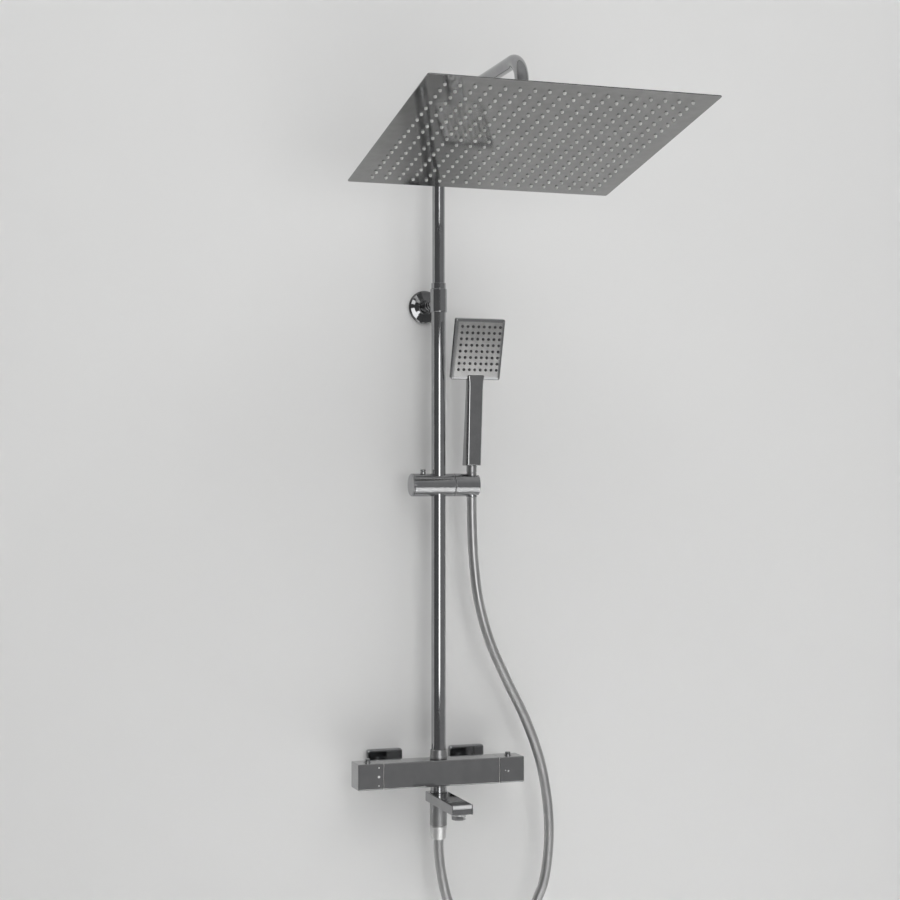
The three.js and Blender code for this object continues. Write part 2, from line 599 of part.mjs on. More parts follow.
// Outlet below the bar: collar, swivelling spout with aerator, hose outlet and its nut
function outlet() {
  const bore = threadRadius + slideGap;
  const pipeBottom = outletBodyTop - 10;
  const collarBase = spoutTop + seatGap;
  const pipe = [[waterRadius, pipeBottom], [threadRadius, pipeBottom], [threadRadius, collarBase],
    [outletCollarRadius, collarBase], [outletCollarRadius, barBottom - seatGap],
    [threadRadius, barBottom - seatGap], [threadRadius, barBottom + 10], [waterRadius, barBottom + 10],
    [waterRadius, pipeBottom]];
  add(onAxis, 'outlet_pipe', turned(pipe), chrome);

  const length = spoutReach + spoutBack;
  const middleY = (spoutBack - spoutReach) / 2;
  const blank = prism(spoutWidth, length, 1.5, spoutBottom, spoutTop).translate(0, middleY, 0);
  const aeratorY = aeratorInset - spoutReach;
  const channelHeight = spoutHeight - 8;
  const channel = box(spoutWidth - 14, -aeratorY, channelHeight)
    .translate(0, aeratorY / 2, (spoutTop + spoutBottom) / 2);
  const aeratorHole = rod(aeratorRadius - 1.6, spoutBottom - 1, spoutBottom + 6).translate(0, aeratorY, 0);
  const scoop = rod(40, -spoutReach - 1, -spoutReach + 5, 40).rotateX(-Math.PI / 2)
    .translate(0, 0, spoutBottom - 36.5);
  const hub = rod(bore, spoutBottom - 5, spoutTop + 5);
  add(onAxis, 'spout', cut(blank, hub, channel, aeratorHole, scoop), chrome);

  const flangeTop = spoutBottom - seatGap;
  const aerator = [[0, flangeTop - aeratorHeight], [aeratorRadius - 2, flangeTop - aeratorHeight],
    [aeratorRadius, flangeTop - aeratorHeight + 1],
    [aeratorRadius, flangeTop], [aeratorRadius - 2, flangeTop], [aeratorRadius - 2, spoutBottom + 3],
    [0, spoutBottom + 3]];
  add(onAxis, 'aerator', turned(aerator).translate(0, aeratorY, 0), plastic);

  const valveRoom = waterRadius + 1;
  const spigotBottom = outletBodyBottom - 9;
  const body = [[waterRadius - 1, spigotBottom], [threadRadius - 0.5, spigotBottom],
    [threadRadius - 0.5, outletBodyBottom], [outletBodyRadius, outletBodyBottom],
    [outletBodyRadius, outletBodyTop - 1], [outletBodyRadius - 1, outletBodyTop], [bore, outletBodyTop],
    [bore, outletBodyTop - 12], [valveRoom, outletBodyTop - 12], [valveRoom, outletBodyTop - 30],
    [waterRadius - 1, outletBodyTop - 30], [waterRadius - 1, spigotBottom]];
  add(onAxis, 'hose_outlet_body', turned(body), chrome);
  add(onAxis, 'check_valve', ring(valveRoom - seatGap, 3, outletBodyTop - 28, outletBodyTop - 14, 16), plastic);

  const nutTopZ = outletBodyBottom - seatGap;
  const wide = threadRadius - 0.5 + slideGap;
  const nut = [[waterRadius - 1, hoseNutBottom], [hoseNutRadius, hoseNutBottom], [outletBodyRadius, nutTopZ],
    [wide, nutTopZ], [wide, spigotBottom - 2.2], [waterRadius - 1, spigotBottom - 2.2],
    [waterRadius - 1, hoseNutBottom]];
  add(onAxis, 'hose_nut', turned(nut), chrome);
  add(onAxis, 'hose_washer', ring(threadRadius - 0.5, 5, spigotBottom - 1.8, spigotBottom - 0.3, 16), rubber);
}

// The hose hangs from the hand shower's cone nut in one deep loop to the hose nut
function hose() {
  const start = coneBottom - seatGap - sliderDrop;
  const end = hoseNutBottom - seatGap;
  const route = [[handsetOffset, 0, start], [60.5, 0, -372], [63.8, 0, -441], [72.2, -1, -510],
    [91.9, -2, -580], [123.4, -3, -650], [158.3, -4, -720], [184, -5, -791], [197, -6, -861],
    [200, -6, -905], [198.6, -6, -948], [190.4, -6, -999], [180.7, -6, -1024], [166.5, -6, -1051],
    [147, -5, -1073.5], [121.7, -5, -1089], [92, -4, -1093], [63.5, -3, -1084.5], [40.1, -2, -1065.5],
    [23.2, -2, -1039.6], [12.6, -1, -1009], [4.6, -1, -972], [0.4, 0, end - 20], [0, 0, end]];
  const path = new THREE.CatmullRomCurve3(route.map((p) => new THREE.Vector3(...p)), false, 'centripetal');
  add(onAxis, 'hose', sweep(path, 36, hoseRadius, 0, 8), pvc);
}

wallBracket();
telescopeLock();
columnTubes();
riser();
rainHead();
slider();
handset();
const mixer = mixerBody();
barEnd(mixer, -1, { cartridge: 'diverter_cartridge', handle: 'flow_handle', button: 'eco_button', spring: 'eco_spring' });
barEnd(mixer, 1, { cartridge: 'thermostat_cartridge', handle: 'temperature_handle', button: 'safety_button',
  spring: 'safety_spring' });
inlet(mixer, -1, 'left');
inlet(mixer, 1, 'right');
outlet();
hose();

export default column;
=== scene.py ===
import math

import bmesh
import bpy
import numpy as np
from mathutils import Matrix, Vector


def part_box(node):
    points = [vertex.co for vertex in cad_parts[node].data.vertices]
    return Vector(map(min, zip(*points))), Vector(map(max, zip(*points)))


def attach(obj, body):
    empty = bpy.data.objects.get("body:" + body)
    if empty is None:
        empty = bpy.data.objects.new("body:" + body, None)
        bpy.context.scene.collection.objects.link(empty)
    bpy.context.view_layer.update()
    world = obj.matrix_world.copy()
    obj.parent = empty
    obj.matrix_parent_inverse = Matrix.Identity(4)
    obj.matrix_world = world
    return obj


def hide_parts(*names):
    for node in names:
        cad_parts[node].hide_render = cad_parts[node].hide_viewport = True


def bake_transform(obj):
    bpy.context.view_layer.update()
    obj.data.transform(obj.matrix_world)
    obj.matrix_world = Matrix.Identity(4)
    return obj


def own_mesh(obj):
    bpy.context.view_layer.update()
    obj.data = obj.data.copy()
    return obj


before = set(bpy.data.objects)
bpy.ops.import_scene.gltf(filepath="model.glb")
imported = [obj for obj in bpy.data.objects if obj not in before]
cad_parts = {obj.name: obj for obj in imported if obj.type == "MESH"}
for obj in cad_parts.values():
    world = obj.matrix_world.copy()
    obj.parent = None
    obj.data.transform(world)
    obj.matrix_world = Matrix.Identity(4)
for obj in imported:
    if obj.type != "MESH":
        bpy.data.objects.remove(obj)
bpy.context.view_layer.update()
scene = bpy.context.scene

mm = 0.001
upward = (0, 0, 1)


# a vector array divided by its own length
def unit(vectors):
    vectors = np.asarray(vectors, float)
    return vectors / np.linalg.norm(vectors, axis=-1, keepdims=True)


# lowest corner, highest corner and middle of a CAD node, as arrays
def boxOf(node):
    low, high = (np.array(corner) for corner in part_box(node))
    return low, high, (low + high) / 2


# quad (i, j) joins rings i and i+1 between their points j and j+1; the last point meets the first
def ringQuads(rings, points, closed):
    i, j = np.meshgrid(np.arange(rings if closed else rings - 1), np.arange(points), indexing="ij")
    i, j = i.ravel(), j.ravel()
    k, m = (i + 1) % rings, (j + 1) % points
    return np.stack([i * points + j, i * points + m, k * points + m, k * points + j], 1)


# rings one after another, joined by quads; an open row of rings gets a flat face at each end
def loft(rings, closed=False):
    rows, points = rings.shape[:2]
    faces = [ringQuads(rows, points, closed)]
    if not closed:
        faces.append(np.array([np.arange(points), np.arange(points) + (rows - 1) * points]))
    return rings.reshape(-1, 3), faces


# each corner of an outline becomes corner + back·r(1-t)² + ahead·r·t², with r at most 0.45 of a side
def softened(outline, radius, closed=False, steps=4):
    p = np.asarray(outline, float)
    back, ahead = np.roll(p, 1, 0) - p, np.roll(p, -1, 0) - p
    shortest = np.minimum(np.linalg.norm(back, axis=1), np.linalg.norm(ahead, axis=1))
    r = np.minimum(radius, 0.45 * shortest)[:, None, None]
    t = np.linspace(0, 1, steps + 1)[None, :, None]
    back, ahead = unit(back), unit(ahead)
    curve = p[:, None] + back[:, None] * r * (1 - t) ** 2 + ahead[:, None] * r * t ** 2
    if closed:
        return curve.reshape(-1, 2)
    return np.concatenate([p[:1], curve[1:-1].reshape(-1, 2), p[-1:]])


# point(u, v) = centre + r(u, v)·(cos u·side + sin u·up) + height(v)·along;
# r is the outline's radius, held inside a hexagon's sides by flats, with shallow ridges if asked
def turned(outline, centre, along, edge=0.4, sides=72, closed=True, flats=None, ridges=None):
    path = (softened(outline, edge, closed) if edge else np.asarray(outline, float)) * mm
    along = unit(along)
    side = unit(np.cross(along, (0, 1, 0) if abs(along[1]) < 0.9 else (1, 0, 0)))
    up = np.cross(along, side)
    u = np.linspace(0, 2 * np.pi, sides, endpoint=False)
    r = np.repeat(path[:, :1], sides, 1)
    if flats:
        r = np.minimum(r, flats * mm / np.cos((u + np.pi / 6) % (np.pi / 3) - np.pi / 6)[None])
    if ridges:
        count, depth, above = ridges
        r = r - np.where(r > above * mm, depth * mm * (0.5 + 0.5 * np.cos(count * u))[None], 0)
    spoke = np.cos(u)[:, None] * side + np.sin(u)[:, None] * up
    rings = np.asarray(centre) + r[:, :, None] * spoke[None] + path[:, 1][:, None, None] * along
    return loft(rings, closed)


# a rounded rectangle about its middle: corner centre + radius·(cos a, sin a), a running once round
def roundedSquare(halfA, halfB, corner, steps=6):
    a = (np.arange(4)[:, None] * np.pi / 2 + np.linspace(0, np.pi / 2, steps + 1)[None]).ravel()
    signA = np.repeat([1, -1, -1, 1], steps + 1)
    signB = np.repeat([1, 1, -1, -1], steps + 1)
    halfA, halfB, corner = (np.asarray(v, float)[..., None] for v in (halfA, halfB, corner))
    return np.stack([signA * (halfA - corner) + corner * np.cos(a),
                     signB * (halfB - corner) + corner * np.sin(a)], -1)


# a rounded rectangle carried along one axis; by each end it draws in along a quarter circle,
# or along a quarter of an oval where edge gives (inset, rise) for the low end and for the high end
def block(low, high, corner, edge, along=2, steps=5):
    low, high = np.asarray(low, float), np.asarray(high, float)
    a, b, c = (along + 1) % 3, (along + 2) % 3, along
    half, middle = (high - low) / 2, (high + low) / 2
    (lowIn, lowRise), (highIn, highRise) = edge if isinstance(edge, tuple) else ((edge, edge), (edge, edge))
    t = np.linspace(0, np.pi / 2, steps + 1)
    inset = np.concatenate([lowIn * mm * (1 - np.sin(t)), highIn * mm * (1 - np.sin(t[::-1]))])
    place = np.concatenate([low[c] + lowRise * mm * (1 - np.cos(t)),
                            high[c] - highRise * mm * (1 - np.cos(t[::-1]))])
    radius = np.maximum(corner * mm - inset, 0.02 * mm)
    flat = roundedSquare(half[a] - inset, half[b] - inset, radius)
    rings = np.zeros(flat.shape[:2] + (3,))
    rings[..., a] = flat[..., 0] + middle[a]
    rings[..., b] = flat[..., 1] + middle[b]
    rings[..., c] = place[:, None]
    return loft(rings)


# several shapes as one, each one's faces counting on from the points before it
def together(*shapes):
    starts = np.cumsum([0] + [len(points) for points, _ in shapes])
    faces = [f + start for (_, sets), start in zip(shapes, starts) for f in sets]
    return np.concatenate([points for points, _ in shapes]), faces


# copy k of a shape has point + place k
def repeated(shape, places):
    points, sets = shape
    starts = (np.arange(len(places)) * len(points))[:, None, None]
    faces = [(f[None] + starts).reshape(-1, f.shape[1]) for f in sets]
    return (points[None] + np.asarray(places)[:, None]).reshape(-1, 3), faces


# place k = (k - (count - 1) / 2)·pitch, so the row is even about zero
def spaced(count, pitch):
    return (np.arange(count) - (count - 1) / 2) * pitch * mm


# turned·point + shift for every point
def moved(shape, turn, shift):
    points, sets = shape
    return points @ np.asarray(turn).T + np.asarray(shift), sets


# rotation about the X axis: y' = y cos a - z sin a, z' = y sin a + z cos a
def aboutX(angle):
    c, s = math.cos(angle), math.sin(angle)
    return np.array([[1, 0, 0], [0, c, -s], [0, s, c]])


def meshFrom(name, shape):
    points, sets = shape
    mesh = bpy.data.meshes.new(name)
    mesh.from_pydata(points.tolist(), [], [face for f in sets for face in f.tolist()])
    shell = bmesh.new()
    shell.from_mesh(mesh)
    bmesh.ops.recalc_face_normals(shell, faces=shell.faces)
    shell.to_mesh(mesh)
    shell.free()
    return mesh


# what cutters take away is cut from the piece once, and the cutters are thrown away
def carve(piece, *cutters):
    for i, shape in enumerate(cutters):
        tool = bpy.data.objects.new(f"cutter{i}", meshFrom(f"cutter{i}", shape))
        scene.collection.objects.link(tool)
        cut = piece.modifiers.new("Cut", "BOOLEAN")
        cut.operation, cut.solver, cut.object = "DIFFERENCE", "MANIFOLD", tool
        graph = bpy.context.evaluated_depsgraph_get()
        result = bpy.data.meshes.new_from_object(piece.evaluated_get(graph))
        piece.modifiers.remove(cut)
        old, piece.data = piece.data, result
        bpy.data.meshes.remove(old)
        bpy.data.objects.remove(tool)


# a finished piece: smooth except at sharp corners, flat faces kept flat, riding on its body unless
# blendWith is given, when it is only fixed where it stands
def makePiece(name, shape, finish, body, stands=(), crease=38, cutters=(), blendWith=None):
    piece = bpy.data.objects.new(name, meshFrom(name, shape))
    scene.collection.objects.link(piece)
    if cutters:
        carve(piece, *cutters)
    mesh = piece.data
    mesh.name = name
    mesh.polygons.foreach_set("use_smooth", np.ones(len(mesh.polygons), bool))
    mesh.set_sharp_from_angle(angle=math.radians(crease))
    mesh.materials.clear()
    mesh.materials.append(finish)
    even = piece.modifiers.new("Even shading", "WEIGHTED_NORMAL")
    even.keep_sharp = True
    if blendWith:
        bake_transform(piece)
    else:
        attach(piece, body)
    if stands:
        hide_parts(*stands)
    return piece


cameraPlace = {
    "location": (-0.9365, -2.9426, -0.3076),
    "turn": (91.056, 0.0, -18.49),
    "lens": 70.34,
}
cameraData = bpy.data.cameras.new("viewpoint")
cameraData.lens = cameraPlace["lens"]
cameraData.sensor_width = 36
cameraData.dof.use_dof = False
camera = bpy.data.objects.new("viewpoint", cameraData)
camera.location = cameraPlace["location"]
camera.rotation_euler = [math.radians(a) for a in cameraPlace["turn"]]
scene.collection.objects.link(camera)
scene.camera = camera
print("camera placed")


# node placed and set in one call; inputs given by name
def addNode(tree, kind, label, **values):
    node = tree.nodes.new(kind)
    node.label = label
    for key, value in values.items():
        node.inputs[key.replace("_", " ")].default_value = value
    return node


# a value between low and high as the pattern goes from first to last
def ranged(tree, source, first, last, low, high, label):
    node = addNode(tree, "ShaderNodeMapRange", label, From_Min=first, From_Max=last, To_Min=low,
                   To_Max=high)
    tree.links.new(source, node.inputs["Value"])
    return node.outputs["Result"]


# object coordinates in metres, stretched by three factors
def patternPlace(tree, stretch, label, uv=False):
    where = addNode(tree, "ShaderNodeTexCoord", "where on the piece")
    mapping = addNode(tree, "ShaderNodeMapping", label)
    mapping.inputs["Scale"].default_value = stretch
    tree.links.new(where.outputs["UV" if uv else "Object"], mapping.inputs["Vector"])
    return mapping.outputs["Vector"]


def noise(tree, vector, scale, detail, label, rough=0.5):
    node = addNode(tree, "ShaderNodeTexNoise", label, Scale=scale, Detail=detail, Roughness=rough)
    tree.links.new(vector, node.inputs["Vector"])
    return node.outputs["Fac"]


# colour from one tone to another by a pattern value
def tones(tree, source, dark, light, first, last, label):
    ramp = tree.nodes.new("ShaderNodeValToRGB")
    ramp.label = label
    ramp.color_ramp.elements[0].position = first
    ramp.color_ramp.elements[1].position = last
    ramp.color_ramp.elements[0].color = (*dark, 1)
    ramp.color_ramp.elements[1].color = (*light, 1)
    tree.links.new(source, ramp.inputs["Fac"])
    return ramp.outputs["Color"]


def mathNode(tree, operation, a, b, label, clamp=False):
    node = tree.nodes.new("ShaderNodeMath")
    node.operation, node.label, node.use_clamp = operation, label, clamp
    for socket, value in zip(node.inputs, (a, b)):
        if isinstance(value, (int, float)):
            socket.default_value = value
        else:
            tree.links.new(value, socket)
    return node.outputs[0]


# Plated or bare metal: two tones of its colour, a polish that varies with wiping, dried drops
# and fine scratches.
# roughness = polish between smooth and hazy by a broad pattern + drops; height = fine grain + drop rims
def metalFinish(name, look):
    material = bpy.data.materials.new(name)
    material.use_nodes = True
    tree = material.node_tree
    shader = tree.nodes["Principled BSDF"]
    shader.inputs["Metallic"].default_value = look.get("metal", 1.0)
    place = patternPlace(tree, (1, 1, 1), "pattern in metres")
    grainPlace = patternPlace(tree, look.get("stretch", (1, 1, 1)), "grain direction")
    wiped = noise(tree, place, look.get("wipeScale", 22), 4, "wiped haze", 0.6)
    grain = noise(tree, grainPlace, look.get("grainScale", 900), 5, "polishing grain", 0.65)
    mottled = noise(tree, place, look.get("toneScale", 60), 3, "plating tone")
    colour = tones(tree, mottled, look["dark"], look["light"], 0.3, 0.7, "metal colour")
    drops = tree.nodes.new("ShaderNodeTexVoronoi")
    drops.label = "dried water drops"
    drops.inputs["Scale"].default_value = look.get("dropScale", 95)
    drops.inputs["Randomness"].default_value = 1
    tree.links.new(place, drops.inputs["Vector"])
    fade = ranged(tree, wiped, 0.45, 0.7, 0.0, look.get("drops", 0.6), "where drops dried")
    spot = ranged(tree, drops.outputs["Distance"], 0.16, 0.24, 1.0, 0.0, "drop edge")
    spot = mathNode(tree, "MULTIPLY", spot, fade, "drops that show")
    haze = ranged(tree, wiped, 0.35, 0.75, look["smooth"], look["hazy"], "haze")
    haze = mathNode(tree, "ADD", haze, mathNode(tree, "MULTIPLY", spot, look.get("dropHaze", 0.05),
                                                "drop haze"),
                    "haze and drops")
    fine = ranged(tree, grain, 0.3, 0.7, 0, look.get("grainHaze", 0.02), "grain haze")
    tree.links.new(mathNode(tree, "ADD", haze, fine, "roughness", True), shader.inputs["Roughness"])
    tree.links.new(colour, shader.inputs["Base Color"])
    bump = addNode(tree, "ShaderNodeBump", "surface", Strength=look.get("bump", 0.05), Distance=0.0001)
    tree.links.new(mathNode(tree, "ADD", grain, mathNode(tree, "MULTIPLY", spot, 0.3, "drop film"),
                            "height"),
                   bump.inputs["Height"])
    tree.links.new(bump.outputs["Normal"], shader.inputs["Normal"])
    return material


# Moulded plastic, rubber or silicone: mottled tone, a fine moulded grain, and a little water haze
def mouldedFinish(name, look):
    material = bpy.data.materials.new(name)
    material.use_nodes = True
    tree = material.node_tree
    shader = tree.nodes["Principled BSDF"]
    shader.inputs["Metallic"].default_value = look.get("metal", 0.0)
    shader.inputs["Specular IOR Level"].default_value = look.get("gloss", 0.5)
    place = patternPlace(tree, (1, 1, 1), "pattern in metres")
    mottled = noise(tree, place, look.get("toneScale", 120), 4, "moulded tone")
    grain = noise(tree, place, look.get("grainScale", 1500), 4, "moulded grain", 0.6)
    tree.links.new(tones(tree, mottled, look["dark"], look["light"], 0.3, 0.7, "plastic colour"),
                   shader.inputs["Base Color"])
    tree.links.new(ranged(tree, mottled, 0.3, 0.7, look["smooth"], look["hazy"], "haze"),
                   shader.inputs["Roughness"])
    bump = addNode(tree, "ShaderNodeBump", "surface", Strength=look.get("bump", 0.2), Distance=0.0001)
    tree.links.new(grain, bump.inputs["Height"])
    tree.links.new(bump.outputs["Normal"], shader.inputs["Normal"])
    return material


# Silvered hose: a clear skin over a finely wound silver thread that shows as faint slanting lines;
# the line pattern is fract(turns of length + once round), so it winds with the hose
def hoseFinish(name, look):
    material = bpy.data.materials.new(name)
    material.use_nodes = True
    tree = material.node_tree
    shader = tree.nodes["Principled BSDF"]
    shader.inputs["Metallic"].default_value = look["metal"]
    shader.inputs["Coat Weight"].default_value = look["skin"]
    shader.inputs["Coat Roughness"].default_value = look["skinRoughness"]
    along = patternPlace(tree, (1, 1, 1), "round and along the hose", uv=True)
    split = tree.nodes.new("ShaderNodeSeparateXYZ")
    tree.links.new(along, split.inputs[0])
    wound = mathNode(tree, "MULTIPLY", split.outputs["Y"], look["woundPerMetre"], "turns so far")
    wound = mathNode(tree, "ADD", wound, split.outputs["X"], "once round")
    wave = mathNode(tree, "SINE", mathNode(tree, "MULTIPLY", wound, 2 * math.pi, "angle"), 0, "winding")
    place = patternPlace(tree, (1, 1, 1), "pattern in metres")
    cloud = noise(tree, place, 40, 4, "cloudy skin")
    grain = noise(tree, place, 1400, 3, "skin grain")
    mixed = mathNode(tree, "ADD", mathNode(tree, "MULTIPLY", wave, look["woundTone"], "thread tone"), cloud,
                     "tone")
    tree.links.new(tones(tree, mixed, look["dark"], look["light"], 0.25, 0.75, "silver skin"),
                   shader.inputs["Base Color"])
    tree.links.new(ranged(tree, cloud, 0.3, 0.7, look["smooth"], look["hazy"], "haze"),
                   shader.inputs["Roughness"])
    height = mathNode(tree, "ADD", mathNode(tree, "MULTIPLY", wave, look["woundHeight"], "thread height"),
                      mathNode(tree, "MULTIPLY", grain, 0.25, "grain height"), "height")
    bump = addNode(tree, "ShaderNodeBump", "surface", Strength=look["bump"], Distance=0.0001)
    tree.links.new(height, bump.inputs["Height"])
    tree.links.new(bump.outputs["Normal"], shader.inputs["Normal"])
    return material


finishLooks = {
    "chrome": {"dark": (0.335, 0.338, 0.345), "light": (0.375, 0.378, 0.382), "smooth": 0.05, "hazy": 0.10,
               "grainHaze": 0.012},
    "chromeFlat": {"dark": (0.315, 0.317, 0.32), "light": (0.35, 0.352, 0.355), "smooth": 0.05,
                   "hazy": 0.11,
                   "grainHaze": 0.02},
    "polishedSteel": {"dark": (0.24, 0.24, 0.237), "light": (0.28, 0.28, 0.276), "smooth": 0.05,
                      "hazy": 0.10,
                      "stretch": (0.06, 1, 1), "grainScale": 1200, "grainHaze": 0.012, "bump": 0.015,
                      "drops": 0.35},
    "satinSteel": {"dark": (0.44, 0.44, 0.44), "light": (0.50, 0.50, 0.495), "smooth": 0.09, "hazy": 0.14,
                   "stretch": (0.05, 1, 1), "grainScale": 1500, "grainHaze": 0.03, "bump": 0.04},
    "softChrome": {"dark": (0.34, 0.342, 0.345), "light": (0.39, 0.392, 0.395), "smooth": 0.30,
                   "hazy": 0.38,
                   "grainHaze": 0.03},
    # a darker copy of the chrome: painted shade standing in for the dark reflections on the flange cover's
    # face
    "paintedShadeChrome": {"dark": (0.19, 0.192, 0.195), "light": (0.23, 0.232, 0.235), "smooth": 0.02,
                    "hazy": 0.07},
    "paleSteel": {"dark": (0.60, 0.60, 0.60), "light": (0.68, 0.68, 0.68), "smooth": 0.26, "hazy": 0.36,
                  "grainHaze": 0.03},
    "springSteel": {"dark": (0.42, 0.42, 0.43), "light": (0.52, 0.52, 0.52), "smooth": 0.18, "hazy": 0.3},
    "brass": {"dark": (0.55, 0.40, 0.18), "light": (0.70, 0.52, 0.26), "smooth": 0.2, "hazy": 0.4,
              "toneScale": 90},
}
mouldedLooks = {
    "acetal": {"dark": (0.10, 0.10, 0.105), "light": (0.14, 0.14, 0.145), "smooth": 0.35, "hazy": 0.5},
    "blackRubber": {"dark": (0.012, 0.012, 0.012), "light": (0.03, 0.03, 0.03), "smooth": 0.55,
                    "hazy": 0.75},
    "paleSilicone": {"dark": (0.60, 0.60, 0.59), "light": (0.74, 0.74, 0.73), "smooth": 0.35, "hazy": 0.5},
    "darkSilicone": {"dark": (0.018, 0.018, 0.02), "light": (0.04, 0.04, 0.042), "smooth": 0.4,
                     "hazy": 0.6},
    "printGrey": {"dark": (0.50, 0.50, 0.50), "light": (0.62, 0.62, 0.62), "smooth": 0.3, "hazy": 0.45},
    "printDark": {"dark": (0.02, 0.02, 0.02), "light": (0.04, 0.04, 0.04), "smooth": 0.3, "hazy": 0.45},
}
hoseLook = {"dark": (0.43, 0.43, 0.43), "light": (0.51, 0.51, 0.51), "metal": 0.9, "smooth": 0.30,
            "hazy": 0.38,
            "skin": 0.25, "skinRoughness": 0.3, "woundPerMetre": 520, "woundTone": 0.03, "woundHeight": 0.4,
            "bump": 0.06}
finishes = {name: metalFinish(name, look) for name, look in finishLooks.items()}
finishes.update({name: mouldedFinish(name, look) for name, look in mouldedLooks.items()})
finishes["silverHose"] = hoseFinish("silverHose", hoseLook)
finishes["platedPlastic"] = metalFinish("platedPlastic", {**finishLooks["chrome"], "hazy": 0.14})
chrome = finishes["chrome"]
chromeFlat = finishes["chromeFlat"]
print("finishes made")


# The route's points from the part's source: across, out from the wall, up, in millimetres
# about the column's axis
hoseSizes = {"radius": 8.5, "spacing": 3.0, "sides": 40, "topRun": 106.0, "settledBy": 215.0}
hoseRoute = [
    (60, 0, -333.3), (60.5, 0, -372), (63.8, 0, -441), (72.2, -1, -510), (91.9, -2, -580),
             (123.4, -3, -650),
    (158.3, -4, -720), (184, -5, -791), (197, -6, -861), (200, -6, -905), (198.6, -6, -948),
             (190.4, -6, -999),
    (180.7, -6, -1024), (166.5, -6, -1051), (147, -5, -1073.5), (121.7, -5, -1089), (92, -4, -1093),
    (63.5, -3, -1084.5), (40.1, -2, -1065.5), (23.2, -2, -1039.6), (12.6, -1, -1009), (4.6, -1, -972),
    (0.4, 0, -935.6), (0, 0, -915.6),
]


# Smooth line through points: between two of them the place is a cubic whose end slopes come from the
# neighbours, weighed by the square roots of the spacings; then even steps along its length
def smoothLine(points, spacing):
    p = np.vstack([2 * points[0] - points[1], points, 2 * points[-1] - points[-2]])
    gap = np.sqrt(np.linalg.norm(np.diff(p, axis=0), axis=1))[:, None]
    p0, p1, p2, p3 = p[:-3], p[1:-2], p[2:-1], p[3:]
    g0, g1, g2 = gap[:-2], gap[1:-1], gap[2:]
    slope1 = ((p1 - p0) / g0 - (p2 - p0) / (g0 + g1) + (p2 - p1) / g1) * g1
    slope2 = ((p2 - p1) / g1 - (p3 - p1) / (g1 + g2) + (p3 - p2) / g2) * g1
    t = np.linspace(0, 1, 80, endpoint=False)[None, :, None]
    a = 2 * p1 - 2 * p2 + slope1 + slope2
    b = -3 * p1 + 3 * p2 - 2 * slope1 - slope2
    line = (a[:, None] * t ** 3 + b[:, None] * t ** 2 + slope1[:, None] * t + p1[:, None]).reshape(-1, 3)
    line = np.vstack([line, points[-1]])
    run = np.concatenate([[0], np.cumsum(np.linalg.norm(np.diff(line, axis=0), axis=1))])
    even = np.linspace(0, run[-1], int(round(run[-1] / spacing)) + 1)
    return np.stack([np.interp(even, run, line[:, k]) for k in range(3)], 1), even


# point(u, s) = line(s) + radius·(cos u·side + sin u·up), side square to the line and the wall's normal
def tubeAlong(line, tangent, radius, sides, ends=None):
    side = unit(np.cross(tangent, (0, 1, 0)) if ends is None else np.cross(tangent, ends))
    up = np.cross(side, tangent)
    u = np.linspace(0, 2 * np.pi, sides, endpoint=False)
    spoke = np.cos(u)[None, :, None] * side[:, None] + np.sin(u)[None, :, None] * up[:, None]
    return line[:, None] + np.asarray(radius).reshape(-1, 1, 1) * spoke


columnAxis = np.array([0.0, boxOf("lower_tube")[2][1], 0.0])
routePoints = np.array(hoseRoute) * mm + columnAxis
hoseLine, hoseRun = smoothLine(routePoints, hoseSizes["spacing"] * mm)
hoseTangent = unit(np.gradient(hoseLine, axis=0))
hoseRings = tubeAlong(hoseLine, hoseTangent, hoseSizes["radius"] * mm, hoseSizes["sides"])
cut1, cut2, cut3 = (int(np.searchsorted(hoseRun, k * hoseSizes["topRun"] * mm)) for k in (1, 2, 3))
hoseParts = [
    ("hose_top", 0, cut1, "handset", "handset_holder"),
    ("hose_upper", cut1, cut2, "handset_holder", "slider_barrel"),
    ("hose_middle", cut2, cut3, "slider_barrel", "slider_carriage"),
    ("hose_loop", cut3, len(hoseLine) - 1, "slider_carriage", "column"),
]


# once round in x and metres along in y, on every corner of the tube's faces
def hoseUv(piece, run, sides):
    mesh = piece.data
    corner = np.empty(len(mesh.loops), np.int32)
    mesh.loops.foreach_get("vertex_index", corner)
    ring, spoke = np.divmod(corner, sides)
    start = np.empty(len(mesh.polygons), np.int32)
    total = np.empty(len(mesh.polygons), np.int32)
    mesh.polygons.foreach_get("loop_start", start)
    mesh.polygons.foreach_get("loop_total", total)
    face = np.repeat(np.arange(len(start)), total)
    lowest = np.minimum.reduceat(spoke, start)
    highest = np.maximum.reduceat(spoke, start)
    wraps = (highest - lowest == sides - 1) & (total == 4)
    spoke = np.where(wraps[face] & (spoke == 0), sides, spoke)
    layer = mesh.uv_layers.new(name="hoseUv")
    layer.data.foreach_set("uv", np.stack([spoke / sides, run[ring]], 1).ravel().astype(np.float32))


settled = np.array([0, 0, -hoseSizes["settledBy"] * mm])
for name, first, last, upperBody, lowerBody in hoseParts:
    part = slice(first, last + 1)
    piece = makePiece(name, loft(hoseRings[part]), finishes["silverHose"], upperBody, ["hose"],
                      blendWith=(lowerBody, hoseLine[first],
                                 hoseLine[last] if lowerBody != "column" else hoseLine[first] + settled))
    hoseUv(piece, hoseRun[part], hoseSizes["sides"])
print("hose made, length", round(float(hoseRun[-1]), 3))


